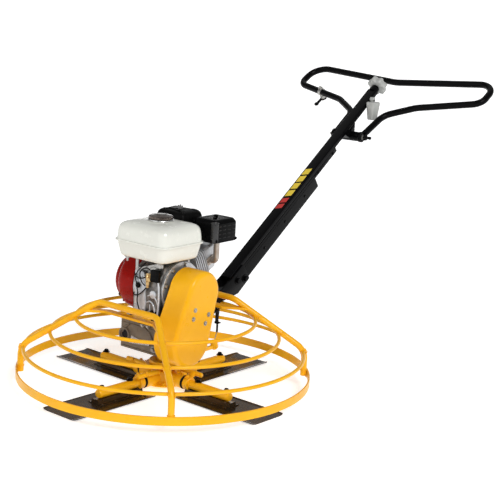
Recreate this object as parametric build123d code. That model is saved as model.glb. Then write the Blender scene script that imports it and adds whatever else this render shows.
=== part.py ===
from build123d import *
import math
import os

# Walk-behind power trowel, 36-inch class, in millimetres.
# Frame: +Z up, origin on the rotor's axis at floor level, +Y towards the operator's
# handlebar, +X towards the belt cover.  At rest the four blades lie flat on the floor.

# ---------------------------------------------------------------- driving dimensions
TIP_RADIUS = 457.0          # 36-inch rotor
BLADE_WIDTH = 150.0
BLADE_INNER = 107.0
BLADE_THICK = 3.0
ROTOR_REST = -2.0           # degrees, where the first arm points
ARM_Z = 33.0
ARM_R = 15.0
ARM_START = 42.0
ARM_END = 296.0
PITCH_LEVER_OFFSET = 26.0   # how far behind its arm each lift lever presses
PITCH_LEVER_Z = 63.0

GUARD_R = 486.0             # outside of the flat guard band
GUARD_THICK = 5.0
GUARD_Z = (34.0, 61.0)
ROD_R = 6.0
RODS = ((462.0, 124.6), (377.0, 179.5), (296.0, 231.0))
TUBE_R = 10.5
TUBE_WALL = 2.0
LEG_R = GUARD_R - GUARD_THICK - TUBE_R
LEG_BEND_Z = 129.0
FRAME_TOP_Z = 291.0
FRAME_CORNER_X = 128.0
FRONT_TOP_Y = -184.0
REAR_TOP_Y = 192.0
BAR_Z = (256.0, 264.0)
BAR_HALF = 13.0             # half the width of the flat mounting bars
FRONT_BAR_Y = -165.0
REAR_BAR_Y = 172.0
FRONT_BOLTS = ((-4.0, -107.0), (20.0, -107.0))
REAR_BOLTS = ((-55.0, REAR_BAR_Y), (55.0, REAR_BAR_Y))
SPACER_R = 9.0
MOUNT_HOLE_R = 5.3

PLATE_Z = (231.0, 239.0)    # engine base plate
TONGUE_X = (-14.0, 30.0)    # tab of the base plate below the front bar's tongue
GEARBOX_X = (-113.0, 62.0)
GEARBOX_Y = (-100.0, 72.0)
GEARBOX_Z = (130.0, 217.0)
GEAR_Z = 195.0
WORM_Y = -50.0
WHEEL_TEETH = 20
MODULE = 3.6
WORM_PITCH_R = 14.0
SHAFT_R = 15.0
WORM_SHAFT_R = 12.0
YOKE_PIVOT = (75.0, 99.0)   # Y, Z

CRANK_Z = 342.0
CRANK_R = 10.0
BELT_X = 120.0
BELT_W = 10.0
DRUM_BELT_R = 32.0          # inside of the belt on the clutch drum
INPUT_BELT_R = 59.0         # inside of the belt on the gearbox pulley
BELT_H = 8.0
COVER_X = (75.0, 165.0)
COVER_EDGE = 16.0           # rounding of the belt cover's face
COVER_WALL = 3.0
COVER_TOP_R = 74.0          # outside of the belt cover round the clutch
COVER_LOW_R = 88.0          # outside of the belt cover round the gearbox pulley
BACK_INSET = 4.0
TANK_SEAM_Z = 500.0
FILLER = (2.0, -46.0)       # X, Y of the tank's filler neck
CAP_R = 40.0
CYLINDER_TILT = 25.0
STARTER_TURN = -45.0        # the rope leaves upwards and towards the operator

POLE_START = (299.0, 327.0)  # Y, Z of the pole's upper face at its foot
POLE_TILT = 36.0
POLE_W = 42.0
POLE_D = 18.0
POLE_LENGTH = 1056.0
CHANNEL_LENGTH = 566.0
CHANNEL_D = 75.0
KNOB_S = 1077.0
BAR_PIVOT = (1003.0, 776.0)  # Y, Z of the handlebar's fold pivot
BAR_TILT = 31.0
BAR_R = 12.7
THROTTLE_REACH = 117.0      # from the bar's bend to the throttle clamp

RUN = 0.05                  # radial clearance of a running fit
LEG_FOOT_Z = 41.0           # underside of the guard's legs, clear of a pitched blade's corner

PARTS = {}
CLUTCH = []                 # hub and shoes of the centrifugal clutch, carried by the crankshaft


# ---------------------------------------------------------------- helpers
def block(x, y, z):
    """Box from three (low, high) pairs."""
    size = [b - a for a, b in (x, y, z)]
    middle = [(a + b) / 2 for a, b in (x, y, z)]
    return Pos(*middle) * Box(*size)


def post(radius, z, at=(0, 0)):
    """Upright cylinder from z[0] to z[1]."""
    return Pos(at[0], at[1], z[0]) * extrude(Circle(radius), z[1] - z[0])


def shaft_x(radius, x, y, z):
    """Cylinder along +X from x[0] to x[1]."""
    return Plane(origin=(x[0], y, z), z_dir=(1, 0, 0)) * extrude(Circle(radius), x[1] - x[0])


def plate_yz(points, x):
    """Flat plate whose outline is a list of (Y, Z) points, between x[0] and x[1]."""
    face = make_face(Polyline(*[(x[0], y, z) for y, z in points], close=True))
    return extrude(face, x[1] - x[0], dir=(1, 0, 0))


def bent_tube(points, radii, outer, wall=0.0):
    """Round tube along straight runs joined by tangent arcs."""
    path = FilletPolyline(*points, radius=radii)
    start = Plane(origin=path @ 0, z_dir=path % 0)
    section = Circle(outer)
    if wall:
        section -= Circle(outer - wall)
    return sweep(start * section, path=path)


def belt_outline(top_radius, bottom_radius, x):
    """Outline of a loop drawn tight round the crankshaft and the worm shaft."""
    sketch_plane = Plane(origin=(x[0], 0, 0), x_dir=(0, 1, 0), z_dir=(1, 0, 0))
    top = Pos(0, CRANK_Z) * Circle(top_radius)
    bottom = Pos(WORM_Y, GEAR_Z) * Circle(bottom_radius)
    face = make_hull((top + bottom).edges())
    return extrude(sketch_plane * face, x[1] - x[0])


def around(shape, count=4, start=ROTOR_REST):
    """Copies of a shape spread evenly about the rotor's axis, as a list."""
    return [Rot(0, 0, start + i * 360 / count) * shape for i in range(count)]


def fuse(shapes):
    total = shapes[0]
    for shape in shapes[1:]:
        total += shape
    return total


def keep(name, *shapes):
    """Record a node; several shapes stay separate solids in it."""
    solids = []
    for shape in shapes:
        solids.extend(shape.solids())
    PARTS[name] = solids[0] if len(solids) == 1 else Compound(children=solids)


# pole frame: x across, y down through the pole's depth, z along the pole
POLE = Plane(
    origin=(0, POLE_START[0], POLE_START[1]),
    x_dir=(1, 0, 0),
    z_dir=(0, math.cos(math.radians(POLE_TILT)), math.sin(math.radians(POLE_TILT))),
)
# handlebar frame: x across, y along the bar's plane away from the pivot
BAR = Plane(
    origin=(0, BAR_PIVOT[0], BAR_PIVOT[1]),
    x_dir=(1, 0, 0),
    z_dir=(0, -math.sin(math.radians(BAR_TILT)), math.cos(math.radians(BAR_TILT))),
)
# cylinder frame: z along the cylinder's bore
CYL = Plane(
    origin=(-5, 0, CRANK_Z),
    x_dir=(1, 0, 0),
    z_dir=(0, math.cos(math.radians(CYLINDER_TILT)), math.sin(math.radians(CYLINDER_TILT))),
)


def pole_point(x, depth, along):
    """Point in the machine's frame from the pole's frame."""
    return POLE.from_local_coords(Vector(x, depth, along))


# ---------------------------------------------------------------- guard ring
def guard_frame(top_y, side):
    foot = LEG_R / math.sqrt(2)
    points = [
        (-foot, side * foot, LEG_FOOT_Z),
        (-foot, side * foot, LEG_BEND_Z),
        (-FRAME_CORNER_X, top_y, FRAME_TOP_Z),
        (FRAME_CORNER_X, top_y, FRAME_TOP_Z),
        (foot, side * foot, LEG_BEND_Z),
        (foot, side * foot, LEG_FOOT_Z),
    ]
    radii = [60, 40, 40, 60]
    return bent_tube(points, radii, TUBE_R, TUBE_WALL), bent_tube(points, radii, TUBE_R)


def mount_bar(middle_y, side, bolts, tongue=None):
    """Flat bar from leg to leg below the top tube, bolted to the base plate on spacers."""
    line = [(-172, side * 216), (-105, middle_y), (105, middle_y), (172, side * 216)]
    outline = [(x, y - BAR_HALF) for x, y in line] + [(x, y + BAR_HALF) for x, y in reversed(line)]
    face = make_face(Polyline(*[(x, y, BAR_Z[0]) for x, y in outline], close=True))
    bar = extrude(face, BAR_Z[1] - BAR_Z[0], dir=(0, 0, 1))
    if tongue:
        bar += tongue
    for at in bolts:
        bar += post(SPACER_R, (PLATE_Z[1], BAR_Z[0]), at)
        bar -= post(MOUNT_HOLE_R, (PLATE_Z[1] - 1, BAR_Z[1] + 1), at)
    return bar


def leg_azimuth(z, top_y):
    """Direction of a +X leg at a height, in degrees from the X axis."""
    foot = LEG_R / math.sqrt(2)
    share = max(0.0, (z - LEG_BEND_Z) / (FRAME_TOP_Z - LEG_BEND_Z))
    x = foot + share * (FRAME_CORNER_X - foot)
    y = foot + share * (abs(top_y) - foot)
    return math.degrees(math.atan2(y, x))


def guard_rod(radius, z):
    """Round rod welded in from leg to leg, as four arcs that stop at the legs."""
    rear = leg_azimuth(z, REAR_TOP_Y)
    front = leg_azimuth(z, FRONT_TOP_Y)
    legs = [-front, rear, 180 - rear, 180 + front, 360 - front]
    stop = math.degrees(1.6 * TUBE_R / radius)
    section = Plane(origin=(radius, 0, z), x_dir=(1, 0, 0), z_dir=(0, 1, 0)) * Circle(ROD_R)
    arcs = []
    for here, after in zip(legs, legs[1:]):
        sweep_angle = after - here - 2 * stop
        arc = revolve(section, Axis.Z, sweep_angle)
        arcs.append(Rot(0, 0, here + stop) * arc)
    return arcs


def build_guard():
    band = post(GUARD_R, GUARD_Z) - post(GUARD_R - GUARD_THICK, GUARD_Z)
    front, front_solid = guard_frame(FRONT_TOP_Y, -1)
    rear, rear_solid = guard_frame(REAR_TOP_Y, 1)
    rods = []
    for radius, z in RODS:
        rods.extend(guard_rod(radius, z))
    keep("guard_band", band)
    keep("guard_rods", *rods)
    keep("guard_front_frame", front)
    keep("guard_rear_frame", rear)
    tongue = block(TONGUE_X, (FRONT_BAR_Y, -99), BAR_Z)
    bars = []
    for bar, legs in (
        (mount_bar(FRONT_BAR_Y, -1, FRONT_BOLTS, tongue), front_solid),
        (mount_bar(REAR_BAR_Y, 1, REAR_BOLTS), rear_solid),
    ):
        bars.append(max((bar - legs).solids(), key=lambda piece: piece.volume))
    keep("guard_mount_bars", *bars)


# ---------------------------------------------------------------- gearbox
def build_gearbox():
    x, y, z = GEARBOX_X, GEARBOX_Y, GEARBOX_Z
    wall = 8
    outer = fillet(block(x, y, z).edges().filter_by(Axis.Z), 12)
    inner = block((x[0] + wall, x[1] - wall), (y[0] + wall, y[1] - wall), (z[0] + wall, z[1] + 1))
    housing = outer - inner
    housing += post(40, (112, z[0] + wall))
    housing += shaft_x(21.5, (x[1] - 12, x[1] + 10), WORM_Y, GEAR_Z)
    housing += shaft_x(21.5, (x[0] + wall - 1, x[0] + wall + 14), WORM_Y, GEAR_Z)
    # ring boss on the front face, with a blind recess inside it
    front_boss = Plane(origin=(-88, y[0] + wall - 1, 176), z_dir=(0, -1, 0))
    housing += front_boss * extrude(Circle(24), wall + 5)
    housing -= front_boss * Pos(0, 0, wall - 2) * extrude(Circle(17), 8)
    for side in (-1, 1):
        lug = block((side * 51 - 4, side * 51 + 4), (62, 88), (88, z[0] + 1))
        housing += lug
    # bores: output shaft, worm shaft, yoke pin
    housing -= post(32, (111, z[0] - 2))
    housing -= post(SHAFT_R + 4, (111, z[0] + wall + 1))
    housing -= shaft_x(18, (x[1] - 13, x[1] + 11), WORM_Y, GEAR_Z)
    housing -= shaft_x(18, (x[0] + wall, x[0] + wall + 15), WORM_Y, GEAR_Z)
    housing -= shaft_x(6 + RUN, (-60, 60), *YOKE_PIVOT)
    keep("gearbox_housing", housing)

    cover = fillet(block(x, y, (z[1], PLATE_Z[0])).edges().filter_by(Axis.Z), 12)
    cover -= post(26, (z[1] - 1, z[1] + 9))
    keep("gearbox_cover", cover)

    lower = post(32, (114, 128)) - post(SHAFT_R + RUN, (113, 129))
    upper = post(26, (212, 226)) - post(SHAFT_R + RUN, (211, 227))
    rings = [lower, upper]
    for start in (x[0] + wall + 1, x[1] - 4):
        ring = shaft_x(18, (start, start + 12), WORM_Y, GEAR_Z)
        rings.append(ring - shaft_x(WORM_SHAFT_R + RUN, (start - 1, start + 13), WORM_Y, GEAR_Z))
    keep("gearbox_bearings", *rings)


def build_worm_drive():
    # single-start right-handed worm: thread thickness is a little under half the pitch
    pitch = math.pi * MODULE
    root_r = WORM_PITCH_R - 1.2 * MODULE
    turns = 6
    length = turns * pitch
    helix = Helix(pitch=pitch, height=length, radius=WORM_PITCH_R)
    flank = math.tan(math.radians(20))
    thick = pitch / 2 - 0.9
    inner = (-1.2 * MODULE - 0.3, thick / 2 + flank * 1.2 * MODULE)
    outer = (MODULE, thick / 2 - flank * MODULE)
    outline = [(inner[0], -inner[1]), (outer[0], -outer[1]), (outer[0], outer[1]), (inner[0], inner[1])]
    start = Plane(origin=helix @ 0, x_dir=(1, 0, 0), z_dir=helix % 0)
    profile = start * make_face(Polyline(*outline, close=True))
    thread = sweep(profile, path=helix, is_frenet=True)
    core = Pos(0, 0, -8) * extrude(Circle(root_r), length + 16)
    # local +X of the helix becomes machine +Y, local +Z becomes machine +X
    place = Plane(origin=(-length / 2, WORM_Y, GEAR_Z), x_dir=(0, 1, 0), z_dir=(1, 0, 0))
    worm = place * (core + thread)
    ends = shaft_x(WORM_SHAFT_R, (-104, -length / 2 - 7), WORM_Y, GEAR_Z)
    worm = worm + ends + shaft_x(WORM_SHAFT_R, (length / 2 + 7, 148), WORM_Y, GEAR_Z)
    keep("worm_shaft", worm)

    pitch_r = WHEEL_TEETH * MODULE / 2
    tip_r = pitch_r + MODULE
    slot_root = pitch_r - 1.25 * MODULE
    wheel = post(tip_r, (GEAR_Z - 10, GEAR_Z + 10)) - post(SHAFT_R + RUN, (GEAR_Z - 11, GEAR_Z + 11))
    lead = math.degrees(math.atan(pitch / (2 * math.pi * WORM_PITCH_R)))
    half_pitch = pitch / 4 + 0.35
    half_root = half_pitch - flank * (pitch_r - slot_root)
    half_tip = half_pitch + flank * (tip_r + 2 - pitch_r)
    gap = [(-half_root, slot_root), (half_root, slot_root), (half_tip, tip_r + 2), (-half_tip, tip_r + 2)]
    slot = Plane.XY * extrude(make_face(Polyline(*gap, close=True)), 17, both=True)
    # the first slot faces the worm (-Y) and leans with the thread's lead
    slot = Rot(0, 0, 180) * Rot(0, -lead, 0) * slot
    slots = [Rot(0, 0, i * 360 / WHEEL_TEETH) * slot for i in range(WHEEL_TEETH)]
    wheel = wheel - [Pos(0, 0, GEAR_Z) * s for s in slots]
    keep("worm_wheel", wheel)

    shaft = post(SHAFT_R, (12, 225)) + post(20, (141, GEAR_Z - 10.1))
    keep("output_shaft", shaft)


def pulley(name, groove_r, rim_r, bore_r, x, y, z, hub_r):
    body = shaft_x(rim_r, (BELT_X - 9, BELT_X + 9), y, z) + shaft_x(hub_r, x, y, z)
    groove = shaft_x(rim_r + 1, (BELT_X - BELT_W / 2 - 0.5, BELT_X + BELT_W / 2 + 0.5), y, z)
    groove -= shaft_x(groove_r, (BELT_X - 9, BELT_X + 9), y, z)
    body -= groove
    body -= shaft_x(bore_r, (x[0] - 1, x[1] + 1), y, z)
    keep(name, body)


def build_belt_drive():
    pulley("input_pulley", INPUT_BELT_R - 0.5, 68, WORM_SHAFT_R + RUN, (98, 138), WORM_Y, GEAR_Z, 26)
    drum = shaft_x(41, (92, BELT_X + 9), 0, CRANK_Z)
    groove = shaft_x(42, (BELT_X - BELT_W / 2 - 0.5, BELT_X + BELT_W / 2 + 0.5), 0, CRANK_Z)
    groove -= shaft_x(DRUM_BELT_R - 0.5, (100, 140), 0, CRANK_Z)
    drum -= groove
    drum -= shaft_x(36, (91, 108), 0, CRANK_Z)
    drum -= shaft_x(CRANK_R + RUN, (91, 140), 0, CRANK_Z)
    keep("clutch_drum", drum)
    hub = shaft_x(22, (93, 107), 0, CRANK_Z) - shaft_x(CRANK_R + RUN, (92, 108), 0, CRANK_Z)
    ring = shaft_x(35, (94, 106), 0, CRANK_Z) - shaft_x(24, (93, 107), 0, CRANK_Z)
    for turn in (0, 120, 240):
        slit = Pos(100, 0, CRANK_Z) * Rot(turn, 0, 0) * Pos(0, 0, 30) * Box(20, 7, 30)
        ring -= slit
    CLUTCH.extend([hub] + ring.solids())
    belt = belt_outline(DRUM_BELT_R + BELT_H, INPUT_BELT_R + BELT_H, (BELT_X - 5, BELT_X + 5))
    belt -= belt_outline(DRUM_BELT_R, INPUT_BELT_R, (BELT_X - 6, BELT_X + 6))
    keep("drive_belt", belt)

    shell = belt_outline(COVER_TOP_R, COVER_LOW_R, COVER_X)
    shell = fillet(shell.edges().group_by(Axis.X)[-1], COVER_EDGE)
    room_x = (COVER_X[0] - 1, COVER_X[1] - COVER_WALL)
    room = belt_outline(COVER_TOP_R - COVER_WALL, COVER_LOW_R - COVER_WALL, room_x)
    shell -= fillet(room.edges().group_by(Axis.X)[-1], COVER_EDGE - COVER_WALL)
    keep("belt_cover", shell)
    back_x = (COVER_X[0] + 0.5, COVER_X[0] + 3.5)
    back = belt_outline(COVER_TOP_R - BACK_INSET, COVER_LOW_R - BACK_INSET, back_x)
    back -= shaft_x(46, (70, 90), 0, CRANK_Z)
    back -= shaft_x(33, (70, 90), WORM_Y, GEAR_Z)
    keep("belt_backplate", back)


# ---------------------------------------------------------------- rotor
def build_rotor():
    hub = post(42, (10, 57)) + post(66, (10, 15)) + post(24, (57, 108))
    socket = Plane(origin=(30, 0, ARM_Z), z_dir=(1, 0, 0)) * extrude(Circle(23), 64)
    bore = Plane(origin=(ARM_START - 1, 0, ARM_Z), z_dir=(1, 0, 0)) * extrude(Circle(ARM_R + 0.08), 60)
    hub = fuse([hub] + around(socket))
    for hole in around(bore):
        hub -= hole
    hub -= post(SHAFT_R + RUN, (9, 109))
    keep("spider_hub", hub)

    plate = post(62, (71.4, 78.4)) - post(24.3, (71, 79))
    keep("pressure_plate", plate)
    cap = post(50, (78.8, 90)) - post(24.5, (78, 91))
    keep("thrust_bearing", cap)

    arm = Plane(origin=(ARM_START, 0, ARM_Z), z_dir=(1, 0, 0)) * extrude(Circle(ARM_R), ARM_END - ARM_START)
    arm = chamfer(arm.edges().group_by(Axis.X)[-1], 4)
    blade = block((BLADE_INNER, TIP_RADIUS), (-BLADE_WIDTH / 2, BLADE_WIDTH / 2), (0, BLADE_THICK))
    rib = block((128, 300), (-12, 12), (BLADE_THICK, ARM_Z - ARM_R + 3))
    seat = Plane(origin=(120, 0, ARM_Z), z_dir=(1, 0, 0)) * extrude(Circle(ARM_R), 190)
    blade = blade + (rib - seat)
    ring = extrude(Circle(22), 20) - extrude(Circle(ARM_R + RUN), 20)
    collar = Plane(origin=(104, 0, ARM_Z), z_dir=(1, 0, 0)) * ring
    offset = PITCH_LEVER_OFFSET
    ear = block((104, 124), (6, offset + 6), (ARM_Z + 17.5, PITCH_LEVER_Z))
    finger = Plane(origin=(50, offset, PITCH_LEVER_Z), z_dir=(1, 0, 0)) * extrude(Circle(8), 98)
    finger = fillet(finger.edges().group_by(Axis.X)[-1], 5)
    lever = collar + ear + finger
    for i in range(4):
        turn = Rot(0, 0, ROTOR_REST + 90 * i)
        keep(f"trowel_arm_{i + 1}", turn * arm, turn * lever)
        keep(f"trowel_blade_{i + 1}", turn * blade)


def build_yoke():
    """Fork that presses the thrust bearing down when the pitch cable pulls its tail up."""
    py, pz = YOKE_PIVOT
    yoke = block((28, 44), (-12, 84), (94, 104)) + block((-44, -28), (-12, 84), (94, 104))
    yoke += block((-44, 44), (66, 84), (92, 106))
    yoke += block((34, 46), (80, 208), (94, 106))
    yoke += shaft_x(13, (34, 46), 208, 102)
    # rounded noses that bear on the thrust bearing
    for side in (-1, 1):
        yoke += shaft_x(5, (side * 36 - 7, side * 36 + 7), 0, 95.6)
    yoke -= shaft_x(6 + RUN, (-60, 60), py, pz)
    pin = shaft_x(6, (-57, 57), py, pz) + shaft_x(9, (55.5, 58.5), py, pz)
    keep("pitch_yoke", yoke, pin)


# ---------------------------------------------------------------- engine
def build_engine_block():
    outline = [(-96, 249), (-96, 372), (-70, 418), (-20, 430), (40, 432), (88, 395), (88, 249)]
    case = plate_yz(outline, (-60, 52))
    case = fillet(case.edges().filter_by(Axis.X), 14)
    case += block((-60, 66), (-92, 96), (PLATE_Z[1], 250))
    case -= shaft_x(76, (-52, 53), 0, CRANK_Z)
    case -= shaft_x(CRANK_R + RUN, (-61, 53), 0, CRANK_Z)
    barrel_hole = CYL * (Pos(0, 0, 60) * extrude(Circle(36), 80))
    case -= barrel_hole
    keep("crankcase", case)

    side = shaft_x(90, (52.2, 62), 0, CRANK_Z) + shaft_x(34, (60, 71), 0, CRANK_Z)
    side -= shaft_x(CRANK_R + RUN, (50, 75), 0, CRANK_Z)
    side -= block((50, 75), (-100, 100), (200, 250.3))
    keep("crankcase_cover", side)

    barrel = extrude(Circle(35.5), 130) - extrude(Circle(27), 130)
    cylinder = Pos(0, 0, 62) * barrel
    for i in range(7):
        fin = RectangleRounded(98, 92, 14) - Circle(30)
        cylinder += Pos(0, 0, 102 + 9 * i) * extrude(fin, 3)
    head = RectangleRounded(92, 86, 10)
    cylinder += Pos(0, 0, 164) * extrude(head, 28)
    clear_case = plate_yz([(-200, 200), (-200, 500), (60, 500), (96, 395), (96, 200)], (-90, 80))
    keep("cylinder", CYL * cylinder - clear_case)
    cover = Pos(0, 0, 192.2) * extrude(RectangleRounded(80, 74, 12), 40)
    cover = fillet(cover.edges().group_by(Axis.Z)[-1], 8)
    keep("rocker_cover", CYL * cover)

    crank = shaft_x(CRANK_R, (-150, 142), 0, CRANK_Z)
    web = block((-28, -16), (-18, 18), (CRANK_Z - 52, CRANK_Z + 36))
    crank += web + Pos(34, 0, 0) * web
    crank += shaft_x(12, (-20, 12), 0, CRANK_Z + 24)
    keep("crankshaft", crank, *CLUTCH)
    wheel = shaft_x(78, (-112, -84), 0, CRANK_Z) - shaft_x(66, (-113, -96), 0, CRANK_Z)
    for i in range(12):
        vane = Pos(-104, 0, CRANK_Z) * Rot(30 * i, 0, 0) * Pos(0, 0, 58) * Box(14, 4, 18)
        wheel += vane
    wheel -= shaft_x(CRANK_R + RUN, (-113, -80), 0, CRANK_Z)
    keep("flywheel", wheel)


def build_engine_covers():
    shroud = shaft_x(100, (-140, -62), 0, CRANK_Z)
    shroud = fillet(shroud.edges().group_by(Axis.X)[0], 12)
    room = shaft_x(97.5, (-137.5, -61), 0, CRANK_Z)
    shroud -= fillet(room.edges().group_by(Axis.X)[0], 9.5)
    shroud -= shaft_x(72, (-141, -130), 0, CRANK_Z)
    keep("fan_cover", shroud)
    recoil = shaft_x(78, (-170, -140.2), 0, CRANK_Z)
    recoil = fillet(recoil.edges().group_by(Axis.X)[0], 14)
    room = shaft_x(75, (-167, -140), 0, CRANK_Z)
    recoil -= fillet(room.edges().group_by(Axis.X)[0], 11)
    rope_line = Pos(-156, 0, CRANK_Z) * Rot(STARTER_TURN, 0, 0)
    recoil += rope_line * Pos(0, 0, 76) * Box(20, 22, 14)
    recoil -= rope_line * Pos(0, 0, 70) * extrude(Circle(3), 30)
    keep("recoil_housing", recoil)
    grip = rope_line * Pos(0, 0, 84) * extrude(RectangleRounded(18, 62, 6), 20)
    keep("recoil_grip", grip)

    seam = Pos(2.5, -49.5, TANK_SEAM_Z)
    tank = seam * extrude(RectangleRounded(221, 199, 36), 48, taper=4)
    tank += seam * Pos(0, 0, 48) * extrude(RectangleRounded(214, 192, 34), 17, taper=50)
    tank += seam * extrude(RectangleRounded(221, 199, 36), -56, taper=12)
    tank += seam * Pos(0, 0, -2) * extrude(RectangleRounded(230, 208, 36), 4)
    hollow = seam * extrude(RectangleRounded(217, 195, 34), 47, taper=4)
    hollow += seam * Pos(0, 0, 46) * extrude(RectangleRounded(208, 186, 31), 17, taper=50)
    hollow += seam * extrude(RectangleRounded(217, 195, 34), -54, taper=12)
    tank += post(24, (560, 570), FILLER)
    keep("fuel_tank", tank - hollow)
    keep("fuel_cap", post(CAP_R, (570.4, 582), FILLER) + post(20, (582, 585), FILLER))

    base = fillet(block((-125, 0), (62, 172), (478, 505)).edges().filter_by(Axis.Z), 14)
    keep("air_cleaner_base", base)
    lid = fillet(block((-126, 1), (61, 173), (505.3, 576)).edges().filter_by(Axis.Z), 14)
    lid = fillet(lid.edges().group_by(Axis.Z)[-1], 12)
    lid -= block((-122, -3), (65, 169), (505, 570))
    keep("air_cleaner_cover", lid)
    can = fillet(block((34, 104), (106, 200), (498, 551)).edges(), 14)
    can -= fillet(block((36, 102), (108, 198), (500, 549)).edges(), 12)
    guard = fillet(block((15, 115), (94, 212), (487, 562)).edges().filter_by(Axis.Z), 10)
    guard = fillet(guard.edges().group_by(Axis.Z)[-1], 9)
    room = fillet(block((17, 113), (96, 210), (486, 560)).edges().filter_by(Axis.Z), 8)
    guard -= fillet(room.edges().group_by(Axis.Z)[-1], 7)
    keep("muffler", can, guard)
    port = CYL.from_local_coords(Vector(46.2, 6, 178))
    pipe = [(port.X, port.Y, port.Z), (66, port.Y, port.Z), (66, port.Y, 497.8)]
    keep("exhaust_pipe", bent_tube(pipe, [14], 10, 2))

    carb = block((-104, -64), (112, 150), (432, 477.8)) + post(16, (410, 432), (-84, 131))
    carb += shaft_x(13, (-66, -54.5), 139, 448)
    keep("carburetor", carb)
    choke = block((-109, -105), (100, 128), (458, 464)) + shaft_x(5, (-109, -104.3), 124, 461)
    keep("choke_lever", choke)
    valve = block((-109, -105), (104, 132), (434, 440)) + shaft_x(5, (-109, -104.3), 128, 437)
    keep("fuel_valve_lever", valve)


def build_base_plate():
    plate = block((-100, 68), (-106, 196), PLATE_Z) + block((-32, 32), (190, 238), PLATE_Z)
    plate += block(TONGUE_X, (-118, -106), PLATE_Z)
    for at in FRONT_BOLTS + REAR_BOLTS:
        plate -= post(MOUNT_HOLE_R, (PLATE_Z[1] - 5, PLATE_Z[1] + 1), at)
    keep("base_plate", plate)


# ---------------------------------------------------------------- handle
def build_handle():
    half = POLE_W / 2
    tube = block((-half, half), (0, POLE_D), (0, POLE_LENGTH))
    tube = fillet(tube.edges().filter_by(Axis.Z), 3)
    tube -= block((-half + 2.5, half - 2.5), (2.5, POLE_D - 2.5), (-1, POLE_LENGTH + 1))
    tube -= block((-12, 12), (POLE_D - 4, POLE_D + 1), (560, 715))
    boss = Pos(0, POLE_D / 2, POLE_LENGTH) * extrude(Circle(17), 19)
    tube += boss + Pos(0, POLE_D / 2, POLE_LENGTH - 4) * Box(POLE_W - 4, POLE_D - 4, 8)
    tube -= Pos(0, POLE_D / 2, POLE_LENGTH - 10) * extrude(Circle(6.3), 40)
    keep("handle_tube", POLE * tube)

    channel = block((-half, half), (POLE_D, CHANNEL_D), (0, CHANNEL_LENGTH))
    edges = channel.edges().filter_by(Axis.Z).group_by(Axis.Y)[-1]
    channel = fillet(edges, 6)
    channel -= block((-half + 3, half - 3), (POLE_D - 1, CHANNEL_D - 3), (-1, CHANNEL_LENGTH - 3))
    channel -= block((-12, 12), (POLE_D - 1, 50), (CHANNEL_LENGTH - 4, CHANNEL_LENGTH + 1))
    cover = block((-half, half), (POLE_D, 36), (CHANNEL_LENGTH, 724))
    cover -= block((-half + 2, half - 2), (POLE_D - 1, 34), (CHANNEL_LENGTH - 1, 722))
    keep("handle_channel", POLE * channel, POLE * cover)

    foot_top = pole_point(0, 8, -2)
    toe = pole_point(0, CHANNEL_D, 0)
    heel = pole_point(0, CHANNEL_D, 74)
    crown = pole_point(0, 8, 74)
    outline = [(190, 245), (240, 245), (toe.Y, toe.Z - 3), (heel.Y, heel.Z)]
    outline += [(crown.Y, crown.Z), (foot_top.Y, foot_top.Z), (205, 264), (190, 262)]
    left = plate_yz(outline, (-half - 6, -half - 0.1))
    right = plate_yz(outline, (half + 0.1, half + 6))
    sole = block((-half - 6, half + 6), (190, 240), (PLATE_Z[1], 245))
    keep("handle_bracket", left + right + sole)
    screw = Pos(0, POLE_D / 2, 740) * extrude(Circle(6), KNOB_S - 740 + 4)
    keep("pitch_screw", POLE * screw)
    knob = extrude(Circle(30), 30)
    for i in range(7):
        knob += Rot(0, 0, i * 360 / 7) * Pos(29, 0, 0) * extrude(Circle(10), 30)
    knob = Pos(0, POLE_D / 2, KNOB_S) * knob
    knob -= Pos(0, POLE_D / 2, KNOB_S - 1) * extrude(Circle(6.02), 5.1)
    keep("pitch_knob", POLE * knob)

    # safety stop paddle hangs from the right of the pole's end
    neck = shaft_x(9, (half + 0.5, 38), 1112, 912) + block((half + 6, 38), (1103, 1121), (900, 912))
    body = Pos(36, 1103, 903) * extrude(RectangleRounded(30, 50, 7), -68, taper=7)
    keep("stop_paddle", body + neck)


def build_pitch_cable():
    """Jacketed cable from the yoke's tail up into the pole, along its real route."""
    runs = [(41, 50), (45, 120), (47, 195), (47.4, 275), (46, 355), (42, 435), (35.5, 505)]
    runs += [(28, 565), (20, 620), (13, 672), (9, 722)]
    inside = [pole_point(0, depth, along) for depth, along in runs]
    points = [(40, 220, 150), (40, 220, 192), (33, 233, 222), (12, 259, 244), (1, 292, 272)]
    points += [(p.X, p.Y, p.Z) for p in inside]
    radii = []
    for a, b, c in zip(points, points[1:], points[2:]):
        before = Vector(*b) - Vector(*a)
        after = Vector(*c) - Vector(*b)
        half_turn = math.radians(before.get_angle(after)) / 2
        radii.append(0.45 * min(before.length, after.length) / math.tan(half_turn))
    cable = bent_tube(points, radii, 3)
    path = FilletPolyline(*points, radius=radii)
    expected = math.pi * 9 * path.length
    print("pitch cable: length", round(path.length), "radii", [round(r) for r in radii])
    print("pitch cable: volume over section x length", round(cable.volume / expected, 4))
    keep("pitch_cable", cable)


def handlebar_points():
    """Corners of the bar's centre line in its own plane, from eye to eye."""
    right = [(60, 0), (73, 150), (178, 222), (422, 296), (422, 426)]
    left = [(-x, y) for x, y in reversed(right)]
    return right + [(0, 374)] + left


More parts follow.
